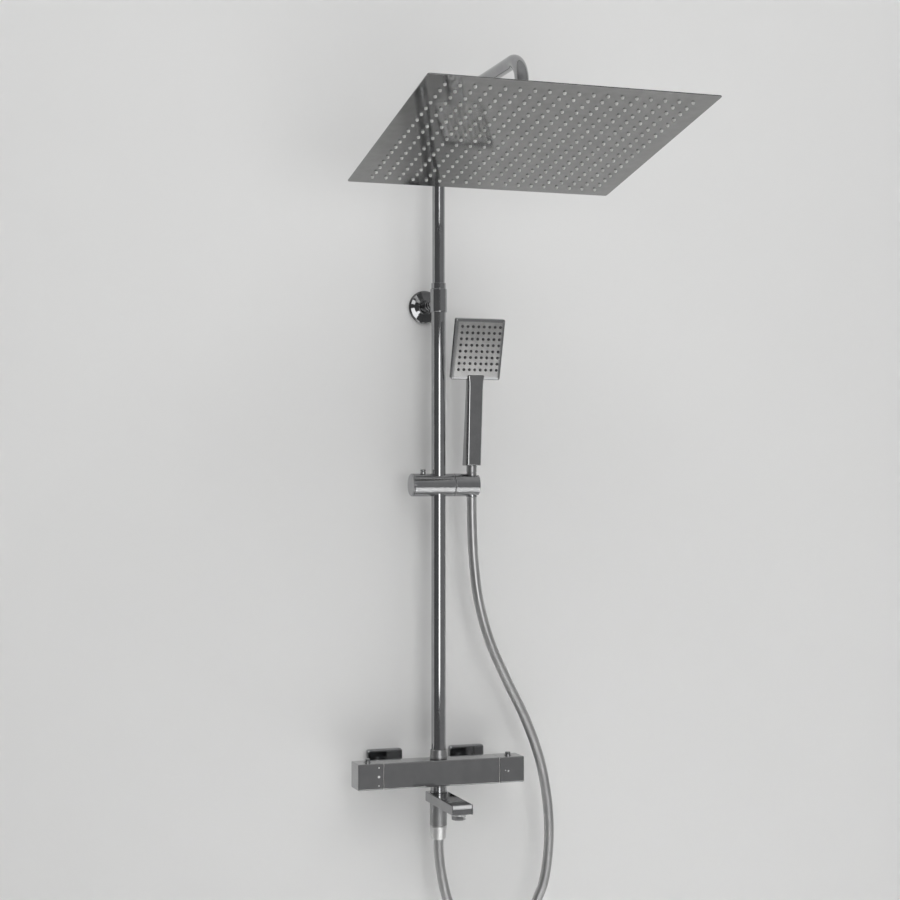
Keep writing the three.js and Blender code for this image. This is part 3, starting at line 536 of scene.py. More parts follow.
outward = (0, -1, 0)
flangeLook = {"edge": 0.9}
low, high, middle = boxOf("wall_flange")
flangeRadius = (high[0] - low[0]) / 2 / mm
flangeHeight = (high[1] - low[1]) / mm
flangeOutline = [
    (flangeRadius - 2.3, 0), (flangeRadius, 0), (flangeRadius, 2.5), (flangeRadius - 2.5, 4), (20, 5.4),
    (13.2, 7.4), (12.2, flangeHeight), (10.4, flangeHeight), (10.4, 5.8), (18, 4.8), (26, 1.6),
]
wallCentre = (middle[0], high[1], middle[2])
# the flange cover takes the darker chrome copy, its colour painted shade in place of dark reflections
makePiece("flange_cover", turned(flangeOutline, wallCentre, outward, flangeLook["edge"], 96),
          finishes["paintedShadeChrome"], "column",
          ["wall_flange"])

stemLook = {"grooves": (0.55, 0.75), "depth": 1.0, "width": 2.6}
low, high, middle = boxOf("bracket_stem")
stemRadius = (high[0] - low[0]) / 2 / mm
stemFrom, stemTo = -high[1] / mm, -low[1] / mm
grooveOutline = [point for share in stemLook["grooves"] for at in [stemTo * share] for point in (
    (stemRadius, at), (stemRadius - stemLook["depth"], at + 0.6),
    (stemRadius - stemLook["depth"], at + 2), (stemRadius, at + stemLook["width"]))]
stemOutline = [(8.4, stemFrom), (stemRadius, stemFrom), *grooveOutline, (stemRadius, stemTo), (8.4, stemTo)]
makePiece("bracket_arm", turned(stemOutline, (middle[0], 0, middle[2]), outward, 0.5, 72), chrome, "column",
          ["bracket_stem"])

collarLook = {"bossRadius": 8.0, "bossReach": 11.8}
low, high, middle = boxOf("wall_collar")
tubeRadius = (boxOf("lower_tube")[1][0] - boxOf("lower_tube")[0][0]) / 2 / mm
collarRadius = (high[0] - low[0]) / 2 / mm
collarOutline = [
    (tubeRadius + 0.3, low[2] / mm), (collarRadius - 0.5, low[2] / mm), (collarRadius, low[2] / mm + 1),
    (collarRadius, high[2] / mm - 1), (collarRadius - 0.5, high[2] / mm), (tubeRadius + 0.3, high[2] / mm),
]
bossOutline = [(3, 12.8), (collarLook["bossRadius"], 12.8),
               (collarLook["bossRadius"], collarRadius + collarLook["bossReach"]),
               (3, collarRadius + collarLook["bossReach"])]
makePiece("column_clamp", together(turned(collarOutline, columnAxis, upward, 0.5, 96),
                                   turned(bossOutline, columnAxis, (0, 1, 0), 0.6, 64)),
          chrome, "column", ["wall_collar"])

low, high, middle = boxOf("lock_ring")
ringRadius = (high[0] - low[0]) / 2 / mm
upperRadius = (boxOf("upper_tube")[1][0] - boxOf("upper_tube")[0][0]) / 2 / mm
lockOutline = [(upperRadius + 0.3, low[2] / mm), (ringRadius, low[2] / mm), (ringRadius, high[2] / mm),
               (upperRadius + 0.3, high[2] / mm)]
makePiece("telescope_ring", turned(lockOutline, columnAxis, upward, 0.9, 96), chrome, "column",
          ["lock_ring"])
screwLow, _, screwMiddle = boxOf("lock_ring_screw")
screwReach = columnAxis[1] / mm - screwLow[1] / mm
screwOutline = [(0.7, 9.0), (1.7, 9.0), (1.7, screwReach), (1.0, screwReach),
                (0.9, screwReach - 1.2), (0.7, screwReach - 1.3)]
makePiece("telescope_grub_screw", turned(screwOutline, (0, columnAxis[1], screwMiddle[2]), outward, 0.2,
                                         36),
          finishes["springSteel"], "column", ["lock_ring_screw"])
print("wall bracket made")


low, high, middle = boxOf("lower_tube")
lowerOutline = [(tubeRadius - 1.1, low[2] / mm), (tubeRadius, low[2] / mm), (tubeRadius, high[2] / mm),
                (tubeRadius - 1.1, high[2] / mm)]
makePiece("column_tube", turned(lowerOutline, columnAxis, upward, 0.35, 96), chrome, "column",
          ["lower_tube"])

low, high, middle = boxOf("column_nut")
nutRadius = (high[0] - low[0]) / 2 / mm
nutOutline = [(tubeRadius + 0.3, low[2] / mm), (nutRadius + 0.6, low[2] / mm),
              (nutRadius + 0.6, low[2] / mm + 4),
              (nutRadius, low[2] / mm + 6), (nutRadius - 0.5, high[2] / mm),
              (tubeRadius + 0.3, high[2] / mm)]
makePiece("column_cover_nut", turned(nutOutline, columnAxis, upward, 0.5, 96), finishes["softChrome"],
          "column",
          ["column_nut"])

headSizes = {"width": 440.0, "depth": 420.0, "tilt": 10.7, "rearBend": 55.0, "frontBend": 41.5,
             "legEnd": 60.0}
headTilt = math.radians(headSizes["tilt"])
faceLow, faceHigh, faceMiddle = boxOf("head_face")
headTurn = aboutX(-headTilt)
headSheet = (faceHigh[2] - faceLow[2] - headSizes["depth"] * mm * math.sin(headTilt)) / math.cos(headTilt)
underside = faceMiddle - headTurn @ np.array([0, 0, headSheet / 2])


# arc that rounds a corner: middle + radius·(cos a·from + sin a·on), a from 0 to the turn at the corner
def bendPoints(before, corner, after, radius, steps=28):
    back, ahead = unit(before - corner), unit(after - corner)
    half = math.acos(float(back @ ahead)) / 2
    centre = corner + unit(back + ahead) * radius / math.sin(half)
    start = corner + back * radius / math.tan(half) - centre
    a = np.linspace(0, math.pi - 2 * half, steps + 1)[:, None]
    return centre + np.cos(a) * start + np.sin(a) * (-back) * radius


tubeLow, tubeHigh, _ = boxOf("upper_tube")
armHeight = tubeHigh[2] - upperRadius * mm
footPoint = np.array([0, columnAxis[1], tubeLow[2]])
rearCorner = np.array([0, columnAxis[1], armHeight])
legEnd = underside + headTurn @ np.array([0, 0, headSizes["legEnd"] * mm])
legDirection = headTurn @ np.array([0, 0, 1.0])
legTop = underside + legDirection * (armHeight - underside[2]) / legDirection[2]
armPath = np.vstack([
    footPoint, footPoint + (rearCorner - footPoint) * 0.4,
    bendPoints(footPoint, rearCorner, legTop, headSizes["rearBend"] * mm),
    bendPoints(rearCorner, legTop, legEnd, headSizes["frontBend"] * mm), legEnd])
armTangent = unit(np.gradient(armPath, axis=0))
armTangent[0], armTangent[-1] = upward, -legDirection
makePiece("arm_tube", loft(tubeAlong(armPath, armTangent, upperRadius * mm, 72, ends=(1, 0, 0))), chrome,
          "riser",
          ["upper_tube"])
print("column and arm made")


headLook = {"corner": 4.0, "edge": 0.5, "nozzlesAcross": 18, "nozzlesDeep": 18, "pitchAcross": 22.0,
            "pitchDeep": 21.4}
panHeight = headSheet
halfWide, halfDeep = headSizes["width"] * mm / 2, headSizes["depth"] * mm / 2
pan = block((-halfWide, -halfDeep, 0), (halfWide, halfDeep, panHeight - 0.7 * mm), headLook["corner"],
            headLook["edge"])
makePiece("head_pan", moved(pan, headTurn, underside), finishes["polishedSteel"], "rain_head",
          ["head_face"])

# Soft nozzles: one small turned tip with its bore, set out on an even grid
nozzleLook = {"outline": [(2.6, -0.2), (2.6, 0.6), (2.2, 2.3), (1.7, 3.0), (0.8, 3.0), (0.6, 2.4)],
              "sides": 10}
across = spaced(headLook["nozzlesAcross"], headLook["pitchAcross"])
deep = spaced(headLook["nozzlesDeep"], headLook["pitchDeep"])
grid = np.stack(np.meshgrid(across, deep, indexing="ij"), -1).reshape(-1, 2)
grid = np.concatenate([grid, np.zeros((len(grid), 1))], 1)
tip = turned(nozzleLook["outline"], (0, 0, 0), (0, 0, -1), 0.0, nozzleLook["sides"], closed=False)
nozzles = repeated(tip, grid)
makePiece("head_nozzles", moved(nozzles, headTurn, underside), finishes["paleSilicone"], "rain_head",
          ["head_nozzle_mat"])

# Back sheet pressed into a low dome round the ball joint
sheetTop = panHeight / mm
backSheet = block((-halfWide + 1.6 * mm, -halfDeep + 1.6 * mm, panHeight - 0.5 * mm),
                  (halfWide - 1.6 * mm, halfDeep - 1.6 * mm, panHeight), 3.4, 0.2)
domeOutline = [(10.7, 8.8), (22, 8.8), (64, sheetTop - 0.3), (73, sheetTop - 0.3), (73, sheetTop + 0.05),
               (66, sheetTop + 0.8),
               (26, 9.4), (21, 10), (10.7, 10)]
makePiece("head_back_sheet", moved(together(backSheet, turned(domeOutline, (0, 0, 0), upward, 1.2, 96)),
                                   headTurn, underside), finishes["polishedSteel"], "rain_head",
          ["head_back"])

bossOutline = [(5, 2.9), (10.5, 2.9), (10.5, 10.3), (17, 10.3), (17, 25.3), (6.4, 25.3), (6.4, 13.3),
               (5, 13.3)]
makePiece("head_joint_boss", moved(turned(bossOutline, (0, 0, 0), upward, 1.0, 72), headTurn, underside),
          chrome,
          "rain_head", ["head_boss"])
ballOutline = [(4, 13.7), (6, 13.7), *[(11 * math.cos(a),
                                        44 + 11 * math.sin(a)) for a in np.linspace(-0.99, 1.19, 24)]]
makePiece("head_joint_ball", moved(turned(ballOutline, (0, 0, 0), upward, 0.05, 72), headTurn, underside),
          finishes["brass"], "rain_head", ["ball_stem"])
cupOutline = [(13.6 * math.cos(a), 44 + 13.6 * math.sin(a)) for a in np.linspace(0, -0.66, 12)]
nutOutline = [(cupOutline[-1][0], 33.8), (15.6, 33.8), (17, 35.2), (17, 47), (17, 58.6), (15, 64),
              (11.4, 64),
              (11.4, 59.4), (13.6, 59.4), *cupOutline]
makePiece("head_joint_nut", moved(together(
    turned(nutOutline, (0, 0, 0), upward, 0.5, 96),
    turned([(16.6, 44.5), (17.6, 44.5), (17.6, 52.5), (16.6, 52.5)], (0, 0, 0), upward, 0.4, 96)),
    headTurn, underside), chrome, "riser", ["ball_nut"])
print("rain head made")


sliderLook = {"capEdge": 1.3}
low, high, middle = boxOf("slider_body")
barrelRadius = (high[2] - low[2]) / 2 / mm
sliderAxis = np.array([0, columnAxis[1], middle[2]])
along = (1, 0, 0)
barrelOutline = [(1, low[0] / mm), (barrelRadius - 0.5, low[0] / mm), (barrelRadius, low[0] / mm + 0.6),
                 (barrelRadius, high[0] / mm), (1, high[0] / mm)]
bore = turned([(1, -40), (tubeRadius + 0.35, -40), (tubeRadius + 0.35, 40), (1, 40)], sliderAxis, upward,
              0.02, 96,
              closed=False)
well = turned([(1, 6), (5.4, 6), (5.4, 30), (1, 30)], sliderAxis + (-28 * mm, 0, 0), upward, 0.02, 48,
              closed=False)
makePiece("slider_barrel_body", turned(barrelOutline, sliderAxis, along, 0.35, 120, closed=False), chrome,
          "slider_barrel", ["slider_body"], cutters=[bore, well])
low, high, middle = boxOf("slider_end_cap")
capOutline = [(1, low[0] / mm), (barrelRadius - 1.6, low[0] / mm), (barrelRadius - 0.1, low[0] / mm + 1.4),
              (barrelRadius - 0.1, high[0] / mm), (1, high[0] / mm)]
makePiece("slider_cap", turned(capOutline, sliderAxis, along, sliderLook["capEdge"], 120, closed=False),
          chrome,
          "slider_barrel", ["slider_end_cap"])

low, high, middle = boxOf("lock_button")
buttonBottom, buttonTop = (low[2] - sliderAxis[2]) / mm, (high[2] - sliderAxis[2]) / mm
buttonOutline = [(0.5, buttonBottom), (4.5, buttonBottom), (4.5, buttonTop - 4), (3.6, buttonTop - 3.4),
                 (3.6, buttonTop - 2.8), (4.9, buttonTop - 2.3), (4.9, buttonTop - 0.9), (3.9, buttonTop),
                 (0.5, buttonTop)]
makePiece("slider_release_button", turned(buttonOutline, (middle[0], middle[1], sliderAxis[2]), upward, 0.4,
                                          64,
                                          closed=False), chrome, "slider_lock", ["lock_button"])

# Coil spring: a round wire carried along place(t) = (r·cos 2πnt, r·sin 2πnt, low + t·rise)
springLook = {"wire": 0.40, "turns": 2.0, "stepsPerTurn": 40, "sides": 10, "keep": 0.2}


def pressSpring(node, pieceName, body):
    low, high, middle = boxOf(node)
    wire = springLook["wire"] * mm
    t = np.linspace(0, 1, int(springLook["turns"] * springLook["stepsPerTurn"]) + 1)
    turn = 2 * np.pi * springLook["turns"] * t
    radius = (high[0] - low[0]) / 2 - wire
    line = np.stack([middle[0] + radius * np.cos(turn), middle[1] + radius * np.sin(turn),
                     low[2] + wire + t * (high[2] - low[2] - 2 * wire)], 1)
    tangent = unit(np.gradient(line, axis=0))
    side = unit(np.cross(tangent, upward))
    up = np.cross(side, tangent)
    u = np.linspace(0, 2 * np.pi, springLook["sides"], endpoint=False)
    spoke = np.cos(u)[None, :, None] * side[:, None] + np.sin(u)[None, :, None] * up[:, None]
    spring = makePiece(pieceName, loft(line[:, None] + wire * spoke), finishes["springSteel"], body, [node])
    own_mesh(spring)


pressSpring("lock_spring", "release_spring", "slider_barrel")

# The holder is the barrel's other end, cut flat on top: a circle held under a level line, with soft corners
holderLook = {"flatCorner": 1.4, "endEdge": 0.8}
low, high, middle = boxOf("holder")
flatHeight = (high[2] - sliderAxis[2]) / mm
flatAngle = math.asin(flatHeight / barrelRadius)
aroundBarrel = np.linspace(flatAngle + 0.04, -math.pi - flatAngle - 0.04, 110)
section = np.stack([barrelRadius * np.cos(aroundBarrel), barrelRadius * np.sin(aroundBarrel)], 1)
section = np.vstack([section, [[-barrelRadius * math.cos(flatAngle) + holderLook["flatCorner"], flatHeight],
                               [barrelRadius * math.cos(flatAngle) - holderLook["flatCorner"],
                                flatHeight]]])
section[:, 1] = np.minimum(section[:, 1], flatHeight)
t = np.linspace(0, np.pi / 2, 6)
draw = holderLook["endEdge"] * (1 - np.sin(t))
rise = holderLook["endEdge"] * (1 - np.cos(t))
shrink = 1 - np.concatenate([draw, draw[::-1]]) / barrelRadius
place = np.concatenate([low[0] / mm + rise, high[0] / mm - rise[::-1]])
holderRings = np.zeros((len(place), len(section), 3))
holderRings[..., 0] = place[:, None]
holderRings[..., 1:] = section[None] * shrink[:, None, None]
holderRings = holderRings * mm + sliderAxis
coneLow, coneHigh, coneMiddle = boxOf("hose_cone_nut")
coneAxis = np.array([coneMiddle[0], coneMiddle[1], 0])
coneBottom, coneTop = coneLow[2] / mm, coneHigh[2] / mm
coneTopRadius = (coneHigh[0] - coneLow[0]) / 2 / mm
coneBottomRadius = 9.3
slope = (coneTopRadius - coneBottomRadius) / (coneTop - coneBottom)
seat = turned([(1, coneBottom - 8), (coneBottomRadius + 0.4 - 8 * slope, coneBottom - 8),
               (coneTopRadius + 0.4 + 12 * slope, coneTop + 12), (1, coneTop + 12)], coneAxis, upward, 0.02,
              96,
              closed=False)
slot = block((coneMiddle[0], coneMiddle[1] - 9 * mm, sliderAxis[2] - 30 * mm),
             (coneMiddle[0] + 40 * mm, coneMiddle[1] + 9 * mm, sliderAxis[2] + 30 * mm), 0.2, 0.2)
makePiece("handset_cradle", loft(holderRings), chrome, "handset_holder", ["holder"],
          cutters=[seat, slot])
washerLow, washerHigh, _ = boxOf("tilt_washer")
washerOutline = [(4.4, washerLow[0] / mm), (barrelRadius - 0.3, washerLow[0] / mm),
                 (barrelRadius - 0.3, washerHigh[0] / mm), (4.4, washerHigh[0] / mm)]
makePiece("cradle_washer", turned(washerOutline, sliderAxis, along, 0.2, 96), finishes["softChrome"],
          "slider_barrel",
          ["tilt_washer"])
print("slider made")


coneOutline = [(6, coneBottom), (coneBottomRadius, coneBottom), (coneTopRadius, coneTop - 0.2),
               (coneTopRadius - 0.4, coneTop),
               (8.6, coneTop), (8.6, coneTop - 15), (6, coneTop - 15)]
makePiece("hose_cone", turned(coneOutline, coneAxis, upward, 0.6, 96), chrome, "handset", ["hose_cone_nut"])
low, high, middle = boxOf("handset_connector")
connectorRadius = (high[0] - low[0]) / 2 / mm
connectorTop = high[2] / mm - 12
connectorOutline = [(5, low[2] / mm), (8.2, low[2] / mm), (8.2, coneTop + 0.3),
                    (connectorRadius, coneTop + 0.3),
                    (connectorRadius, coneTop + 5), (connectorRadius - 0.5, coneTop + 5.6),
                    (connectorRadius - 0.5, coneTop + 6.6), (connectorRadius, coneTop + 7.2),
                    (connectorRadius, connectorTop), (8.2, connectorTop), (8.2, high[2] / mm),
                    (5, high[2] / mm)]
makePiece("handset_neck", turned(connectorOutline, coneAxis, upward, 0.35, 96), finishes["softChrome"],
          "handset",
          ["handset_connector"])

# The grip is a rounded oblong that widens, thins and leans forward towards the spray plate
gripSizes = {"width": (28.0, 28.4), "depth": (25.0, 13.0), "lean": 17.5, "corner": (5.4, 4.2), "edge": 1.6,
             "flare": 1.7}
low, high, middle = boxOf("handset_grip")
gripBottom, gripTop = low[2], high[2]
t = np.linspace(0, np.pi / 2, 6)
lead = np.concatenate([gripSizes["edge"] * (1 - np.cos(t)), []]) * mm
draw = gripSizes["edge"] * (1 - np.sin(t)) * mm
heights = np.concatenate([gripBottom + lead, np.linspace(gripBottom + 4 * mm, gripTop - 4 * mm, 24),
                          gripTop - lead[::-1]])
inset = np.concatenate([draw, np.zeros(24), draw[::-1]])
share = (heights - gripBottom) / (gripTop - gripBottom)
flare = np.clip((share - 0.87) / 0.13, 0, 1) ** 2 * gripSizes["flare"]
halfWidth = (np.interp(share, (0, 1), gripSizes["width"]) / 2 + flare) * mm - inset
halfDepth = np.interp(share, (0, 1), gripSizes["depth"]) / 2 * mm - inset
corner = np.maximum(np.interp(share, (0, 1), gripSizes["corner"]) * mm - inset, 0.1 * mm)
flat = roundedSquare(halfWidth, halfDepth, corner, 8)
gripRings = np.zeros(flat.shape[:2] + (3,))
gripRings[..., 0] = flat[..., 0] + coneMiddle[0]
gripRings[..., 1] = flat[..., 1] + coneMiddle[1] - (gripSizes["lean"] * mm * share)[:, None]
gripRings[..., 2] = heights[:, None]
makePiece("handset_handle", loft(gripRings), chromeFlat, "handset", ["handset_grip"])

# Spray plate, built upright about the middle of its lower front edge and then tipped forward
plateSizes = {"width": 89.0, "height": 106.0, "thickness": 9.0, "lean": 16.4, "corner": 3.0,
              "nozzlesAcross": 8, "nozzlesUp": 8, "pitchAcross": 9.8, "pitchUp": 10.7,
              "nozzleShift": (2.0, 2.2)}
plateTurn = aboutX(math.radians(plateSizes["lean"]))
plateMiddle = boxOf("handset_face")[2]
plateFoot = plateMiddle - plateTurn @ (np.array([0, 0.6, plateSizes["height"] / 2]) * mm)
halfPlate, tallPlate = plateSizes["width"] * mm / 2, plateSizes["height"] * mm
deepPlate = plateSizes["thickness"] * mm
shell = block((-halfPlate, 0.2 * mm, 0), (halfPlate, deepPlate, tallPlate), plateSizes["corner"],
              ((5.2, 1.9), (1.4, 1.4)), along=1, steps=7)
makePiece("spray_shell", moved(shell, plateTurn, plateFoot), chrome, "handset", ["handset_shell"])
face = block((-halfPlate + 4.9 * mm, 0, 4.9 * mm), (halfPlate - 4.9 * mm, 1.0 * mm, tallPlate - 4.9 * mm),
             1.2, 0.35,
             along=1)
makePiece("spray_face", moved(face, plateTurn, plateFoot), finishes["satinSteel"], "handset",
          ["handset_face"])
sprayNozzle = {"outline": [(2.55, -0.2), (2.55, 0.25), (2.2, 0.9), (1.8, 1.15), (0.9, 1.15), (0.7, 0.5)],
               "sides": 16}
across = spaced(plateSizes["nozzlesAcross"], plateSizes["pitchAcross"])
rising = spaced(plateSizes["nozzlesUp"], plateSizes["pitchUp"]) + tallPlate / 2
grid = np.stack(np.meshgrid(across, rising, indexing="ij"), -1).reshape(-1, 2)
grid = np.stack([grid[:, 0] + plateSizes["nozzleShift"][0] * mm, np.zeros(len(grid)),
                 grid[:, 1] + plateSizes["nozzleShift"][1] * mm], 1)
tip = turned(sprayNozzle["outline"], (0, 0, 0), outward, 0.0, sprayNozzle["sides"], closed=False)
makePiece("spray_nozzles", moved(repeated(tip, grid), plateTurn, plateFoot), finishes["darkSilicone"],
          "handset",
          ["handset_nozzle_mat"])
print("hand shower made")


barLook = {"corner": 2.2, "edge": 1.0, "handleEdge": 1.3}
low, high, middle = boxOf("mixer_body")
handleLow, handleHigh, _ = boxOf("flow_handle")
barLow = np.array([low[0], handleLow[1], handleLow[2]])
barHigh = np.array([high[0], handleHigh[1], handleHigh[2]])
spigots = [turned([(7, 0), (13, 0), (13, 12), (7, 12)], (x, barHigh[1] - 1 * mm, middle[2]), (0, 1, 0), 0.4,
                  72)
           for x in (boxOf("union_nut_left")[2][0], boxOf("union_nut_right")[2][0])]
makePiece("mixer_bar", together(block(barLow, barHigh, barLook["corner"], barLook["edge"], along=0),
                                *spigots),
          chromeFlat, "column", ["mixer_body"])

# Handle with its press button in a ringed well, and its printed dots
sealLook = {"clearance": 0.06, "inset": 0.3, "width": 3.0}
handleSides = [
    ("flow_handle", "eco_button", "eco_spring", "eco_press", "flow_control", "eco_stop", "flow_knob",
     [(14.0, 0.0, 2.3), (14.0, 15.0, 1.3), (14.0, -15.0, 1.3)]),
    ("temperature_handle", "safety_button", "safety_spring", "safety_press", "temperature_control",
     "safety_stop", "temperature_knob",
     [(-6.5, -1.5, 1.5), (-12.0, -0.5, 0.8)]),
]
for node, buttonNode, springNode, joint, body, buttonBody, pieceName, dots in handleSides:
    low, high, middle = boxOf(node)
    buttonLow, buttonHigh, buttonMiddle = boxOf(buttonNode)
    buttonRadius = (buttonHigh[0] - buttonLow[0]) / 2 / mm
    shape = block(low, high, barLook["corner"], barLook["handleEdge"], along=0)
    wellShape = turned([(1, (high[2] - 9 * mm) / mm), (buttonRadius + 0.6, (high[2] - 9 * mm) / mm),
                        (buttonRadius + 0.6, (high[2] + 5 * mm) / mm), (1, (high[2] + 5 * mm) / mm)],
                       (buttonMiddle[0], buttonMiddle[1], 0), upward, 0.02, 48, closed=False)
    makePiece(pieceName, shape, chromeFlat, body, [node], cutters=[wellShape])
    ringTop = high[2] / mm
    guard = turned([(buttonRadius + 0.5, ringTop - 1), (buttonRadius + 2.1, ringTop - 1),
                    (buttonRadius + 2.1, ringTop + 0.6),
                    (buttonRadius + 0.5, ringTop + 0.6)], (buttonMiddle[0], buttonMiddle[1], 0), upward,
                   0.4, 48)
    makePiece(pieceName + "_button_ring", guard, chrome, body)
    top = buttonHigh[2] / mm
    outline = [(0.5, buttonLow[2] / mm), (buttonRadius, buttonLow[2] / mm), (buttonRadius, top - 0.8),
               (buttonRadius - 0.8, top), (0.5, top)]
    makePiece(buttonNode + "_cap", turned(outline, (buttonMiddle[0], buttonMiddle[1], 0), upward, 0.5, 48,
                                          closed=False), chrome, buttonBody, [buttonNode])
    marks = [turned([(0.1, -0.3), (radius, -0.3), (radius, 0.06), (0.1, 0.06)],
                    (buttonMiddle[0] + x * mm, low[1], middle[2] + z * mm), outward, 0.0, 28, closed=False)
             for x, z, radius in dots]
    makePiece(pieceName + "_dots", together(*marks), finishes["printGrey"], body)
    pressSpring(springNode, springNode + "_coil", body)
    sealEnds = (high[0], barLow[0]) if low[0] < barLow[0] else (barHigh[0], low[0])
    seal = block((sealEnds[0] + sealLook["clearance"] * mm, low[1] + sealLook["inset"] * mm,
                  low[2] + sealLook["inset"] * mm),
                 (sealEnds[1] - sealLook["clearance"] * mm, high[1] - sealLook["inset"] * mm,
                  high[2] - sealLook["inset"] * mm), barLook["corner"], 0.1, along=0, steps=2)
    opening = block((sealEnds[0] - 5 * mm, low[1] + sealLook["width"] * mm,
                     low[2] + sealLook["width"] * mm),
                    (sealEnds[1] + 5 * mm, high[1] - sealLook["width"] * mm,
                     high[2] - sealLook["width"] * mm), 1.0, 0.1,
                    along=0, steps=2)
    makePiece(pieceName + "_seal", seal, finishes["paleSilicone"], "column",
              cutters=[opening])
print("mixer bar made")


inletLook = {"corner": 5.0, "edge": 3.0}
for side in ("left", "right"):
    low, high, middle = boxOf("escutcheon_" + side)
    makePiece("inlet_cover_" + side, block(low, high, inletLook["corner"], inletLook["edge"], along=1),
              chrome, "column",
              ["escutcheon_" + side])
    low, high, middle = boxOf("union_nut_" + side)
    nutRadius = (high[0] - low[0]) / 2 / mm
    start, end = -high[1] / mm, -low[1] / mm
    outline = [(12.4, start), (nutRadius - 1.6, start), (nutRadius, start + 1.2), (nutRadius, end - 3.4),
               (nutRadius - 1.2, end - 2.4), (nutRadius - 1.2, end), (13.4, end)]
    makePiece("inlet_nut_" + side, turned(outline, (middle[0], 0, middle[2]), outward, 0.5, 120,
                                          flats=nutRadius * math.cos(math.pi / 6) + 0.6), chrome, "column",
              ["union_nut_" + side])
print("wall inlets made")


low, high, middle = boxOf("outlet_pipe")
barUnder = barLow[2] / mm
spoutLow, spoutHigh, spoutMiddle = boxOf("spout")
pipeRadius = (high[0] - low[0]) / 2 / mm
spoutTopZ, spoutBottomZ = spoutHigh[2] / mm, spoutLow[2] / mm
pipeOutline = [(7, low[2] / mm), (10.5, low[2] / mm), (10.5, spoutTopZ + 0.3),
               (pipeRadius, spoutTopZ + 0.3),
               (pipeRadius, spoutTopZ + 2.6), (pipeRadius - 0.6, spoutTopZ + 3.4),
               (pipeRadius - 0.6, barUnder - 2.6),
               (pipeRadius, barUnder - 1.9), (pipeRadius, barUnder - 0.3), (10.5, barUnder - 0.3),
               (10.5, high[2] / mm), (7, high[2] / mm)]
makePiece("outlet_collar", turned(pipeOutline, columnAxis, upward, 0.4, 96), chrome, "column",
          ["outlet_pipe"])

spoutLook = {"corner": 1.6, "edge": 0.9, "archRadius": 40.0, "archDrop": 36.5, "archDepth": 5.0,
             "hollowRadius": 20.0, "hollowDepth": 1.5, "rim": 1.3}
scoop = turned([(1, 0), (spoutLook["archRadius"], 0), (spoutLook["archRadius"], spoutLook["archDepth"] + 4),
                (1, spoutLook["archDepth"] + 4)],
               (0, spoutLow[1] + spoutLook["archDepth"] * mm, spoutLow[2] - spoutLook["archDrop"] * mm),
               outward, 0.02,
               240, closed=False)
spoutBlank = block(spoutLow, spoutHigh, spoutLook["corner"], spoutLook["edge"], along=1)
hollowHalf = (spoutHigh[0] - spoutLow[0]) / 2 / mm - spoutLook["rim"]
hollow = turned([(1, -hollowHalf), (spoutLook["hollowRadius"], -hollowHalf),
                 (spoutLook["hollowRadius"], hollowHalf),
                 (1, hollowHalf)],
                (spoutMiddle[0], spoutLow[1] - (spoutLook["hollowRadius"] - spoutLook["hollowDepth"]) * mm,
                 spoutMiddle[2]), (1, 0, 0), 0.02, 240, closed=False)
makePiece("bath_spout_body", spoutBlank, chrome, "bath_spout", ["spout"], cutters=[scoop, hollow])
low, high, middle = boxOf("aerator")
aeratorRadius = (high[0] - low[0]) / 2 / mm
top = spoutBottomZ
collarDrop = 3.6  # how far the collar under the spout hangs
collarOutline = [(3, top - collarDrop), (aeratorRadius - 0.4, top - collarDrop),
                 (aeratorRadius, top - collarDrop + 0.5),
                 (aeratorRadius, top - 0.3), (aeratorRadius - 0.8, top + 0.6), (3, top + 0.6)]
makePiece("aerator_collar", turned(collarOutline, (middle[0], middle[1], 0), upward, 0.35, 96,
                                   closed=False),
          finishes["paleSteel"], "bath_spout", ["aerator"])
aeratorOutline = [(aeratorRadius - 3.6, low[2] / mm + 2), (aeratorRadius - 3.4, low[2] / mm + 0.2),
                  (aeratorRadius - 2.2, low[2] / mm),
                  (aeratorRadius - 0.7, low[2] / mm + 0.9), (aeratorRadius - 0.7, top - collarDrop - 0.6),
                  (aeratorRadius - 1.6, top - collarDrop + 0.2)]
makePiece("aerator_ring", turned(aeratorOutline, (middle[0], middle[1], 0), upward, 0.3, 200, closed=False,
                                 ridges=(40, 0.8, aeratorRadius - 1.2)), finishes["softChrome"],
          "bath_spout")
meshBars = [block((middle[0] - 8.5 * mm, middle[1] + (k - 0.25) * 1.8 * mm, low[2] + 0.5 * mm),
                  (middle[0] + 8.5 * mm, middle[1] + (k + 0.25) * 1.8 * mm, low[2] + 1.7 * mm), 0.1, 0.1,
                  along=0, steps=1)
            for k in (-4, -3, -2, -1, 0, 1, 2, 3, 4)]
makePiece("aerator_grid", together(*meshBars), finishes["acetal"], "bath_spout")

low, high, middle = boxOf("hose_outlet_body")
bodyRadius = (high[0] - low[0]) / 2 / mm
bodyBottom = boxOf("hose_nut")[1][2] / mm + 0.3
bodyTop = high[2] / mm
bodyOutline = [(6, low[2] / mm), (10, low[2] / mm), (10, bodyBottom), (bodyRadius - 0.3, bodyBottom),
               (bodyRadius, bodyBottom + 0.8), (bodyRadius, bodyTop - 0.2), (bodyRadius - 0.4, bodyTop),
               (10.9, bodyTop),
               (10.9, bodyTop - 12), (8, bodyTop - 12), (8, bodyTop - 30), (6, bodyTop - 30)]
makePiece("hose_outlet", turned(bodyOutline, columnAxis, upward, 0.4, 96), finishes["softChrome"], "column",
          ["hose_outlet_body"])
low, high, middle = boxOf("hose_nut")
nutOutline = [(6, low[2] / mm), (11.2, low[2] / mm), (12.1, low[2] / mm + 1), (12.5, low[2] / mm + 3),
              (bodyRadius - 0.5, high[2] / mm - 4), (bodyRadius - 0.1, high[2] / mm - 3),
              (bodyRadius - 0.1, high[2] / mm),
              (10.4, high[2] / mm), (10.4, high[2] / mm - 11), (6, high[2] / mm - 11)]
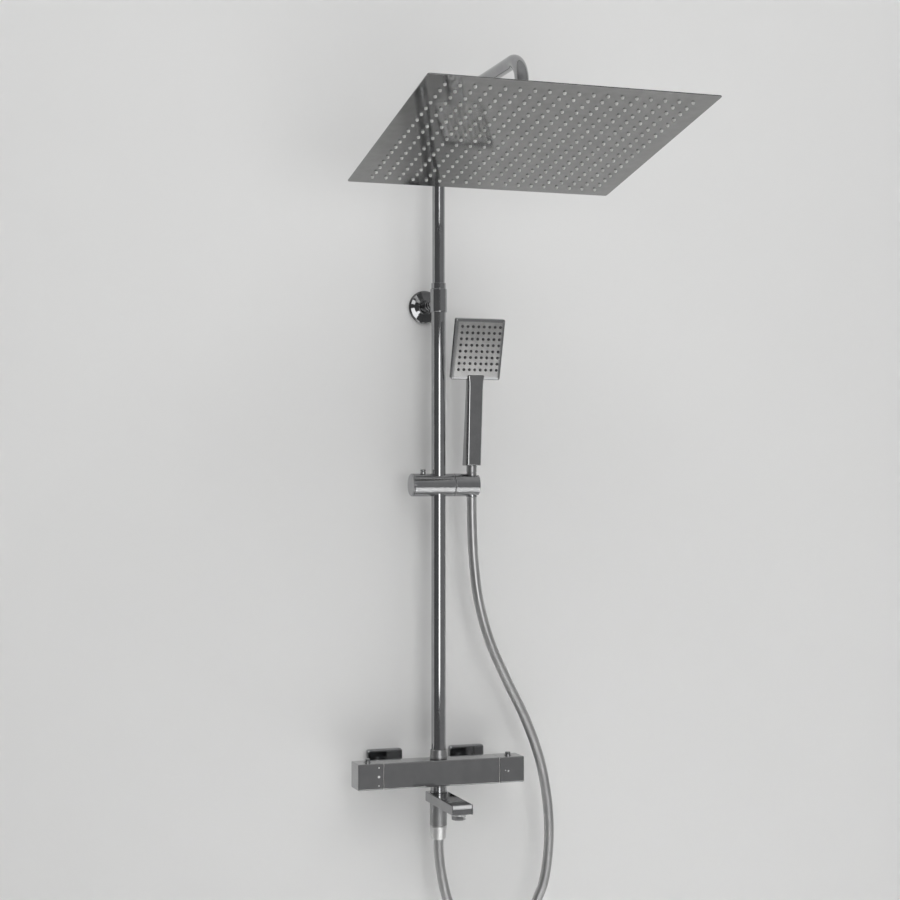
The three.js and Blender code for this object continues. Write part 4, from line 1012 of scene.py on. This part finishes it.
hoseNut = makePiece("hose_end_nut", turned(nutOutline, columnAxis, upward, 0.5, 96), finishes["paleSteel"],
                    "column", ["hose_nut"])
print("outlet made")


slotFinish = {"chrome": "chrome", "steel": "springSteel", "brass": "brass",
              "plated_plastic": "platedPlastic",
              "plastic": "acetal", "rubber": "blackRubber", "silicone": "darkSilicone",
              "hose": "silverHose"}
nodeFinish = {"wall_union_left": "satinSteel", "wall_union_right": "satinSteel"}
for name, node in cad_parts.items():
    for place in node.material_slots:
        slotName = slotFinish.get(place.material.name.split(".")[0], "springSteel")
        place.material = finishes[nodeFinish.get(name, slotName)]


roomLook = {"wallTone": (0.78, 0.78, 0.775), "floorTone": (0.58, 0.58, 0.575), "floorHeight": -1.9,
            "reach": 5.0}


# Pale surface that can be seen from its front only, so that the object shows from behind the wall as well
def roomFinish(name, tone, oneSided):
    material = bpy.data.materials.new(name)
    material.use_nodes = True
    tree = material.node_tree
    shader = tree.nodes["Principled BSDF"]
    shader.inputs["Roughness"].default_value = 0.85
    shader.inputs["Base Color"].default_value = (*tone, 1)
    if oneSided:
        clear = tree.nodes.new("ShaderNodeBsdfTransparent")
        mix = tree.nodes.new("ShaderNodeMixShader")
        facing = tree.nodes.new("ShaderNodeNewGeometry")
        tree.links.new(facing.outputs["Backfacing"], mix.inputs[0])
        tree.links.new(shader.outputs[0], mix.inputs[1])
        tree.links.new(clear.outputs[0], mix.inputs[2])
        tree.links.new(mix.outputs[0], tree.nodes["Material Output"].inputs["Surface"])
    return material


def roomSheet(name, corners, material):
    mesh = bpy.data.meshes.new(name)
    mesh.from_pydata(corners, [], [(0, 1, 2, 3)])
    mesh.materials.append(material)
    sheet = bpy.data.objects.new(name, mesh)
    scene.collection.objects.link(sheet)
    return sheet


reach, floorZ = roomLook["reach"], roomLook["floorHeight"]
roomSheet("wall", [(-reach, 0.001, floorZ), (reach, 0.001, floorZ), (reach, 0.001, reach),
                   (-reach, 0.001, reach)],
          roomFinish("paleWall", roomLook["wallTone"], True))
roomSheet("floor", [(-reach, -reach, floorZ), (reach, -reach, floorZ), (reach, reach, floorZ),
                    (-reach, reach, floorZ)],
          roomFinish("paleFloor", roomLook["floorTone"], False))


# Area light of a given size and power, aimed at a point
def softbox(name, place, target, size, power, spread):
    data = bpy.data.lights.new(name, "AREA")
    data.shape = "RECTANGLE"
    data.size, data.size_y = size
    data.energy, data.spread = power, math.radians(spread)
    light = bpy.data.objects.new(name, data)
    light.location = place
    light.visible_glossy = name != "overhead"  # it lights the metal but is not mirrored in it
    direction = np.array(target) - np.array(place)
    light.rotation_euler = Vector(direction).to_track_quat("-Z", "Y").to_euler()
    scene.collection.objects.link(light)
    return light


lightLook = {
    "overhead": ((0.0, -2.2, 2.7), (0.0, -0.5, -0.7), (4.4, 2.8), 61, 180),
    "window": ((-0.10, -3.3, -0.43), (0, -0.08, -0.43), (1.15, 1.24), 16, 180),
    "upperWindow": ((-0.10, -3.3, 1.2), (0, -0.08, 0.4), (1.15, 1.1), 10, 180),
    "nearFloor": ((0.5, -1.35, -0.9), (0.5, -1.35, -1.9), (2.2, 1.5), 19, 40),
    "farFloor": ((0.5, -2.55, -0.9), (0.5, -2.55, -1.9), (2.2, 1.7), 18, 40),
}
for name, (place, target, size, power, spread) in lightLook.items():
    softbox(name, place, target, size, power, spread)

# The studio beyond the lights: dim to the left, paler to the right, palest overhead
roomAir = {"left": (0.15, 0.15, 0.152), "right": (0.33, 0.33, 0.333), "above": (0.50, 0.50, 0.50)}
world = bpy.data.worlds.new("studio")
world.use_nodes = True
sky = world.node_tree
where = sky.nodes.new("ShaderNodeTexCoord")
parts = sky.nodes.new("ShaderNodeSeparateXYZ")
sky.links.new(where.outputs["Generated"], parts.inputs[0])
level = tones(sky, parts.outputs["X"], roomAir["left"], roomAir["right"], 0.0, 0.25,
              "dim left, paler right")
overhead = ranged(sky, parts.outputs["Z"], 0.3, 0.75, 0.0, 1.0, "how far overhead")
air = sky.nodes.new("ShaderNodeMix")
air.data_type = "RGBA"
sky.links.new(overhead, air.inputs["Factor"])
sky.links.new(level, air.inputs["A"])
air.inputs["B"].default_value = (*roomAir["above"], 1)
sky.links.new(air.outputs["Result"], sky.nodes["Background"].inputs["Color"])
scene.world = world
scene.view_settings.view_transform = "Standard"
print("room and lights placed")
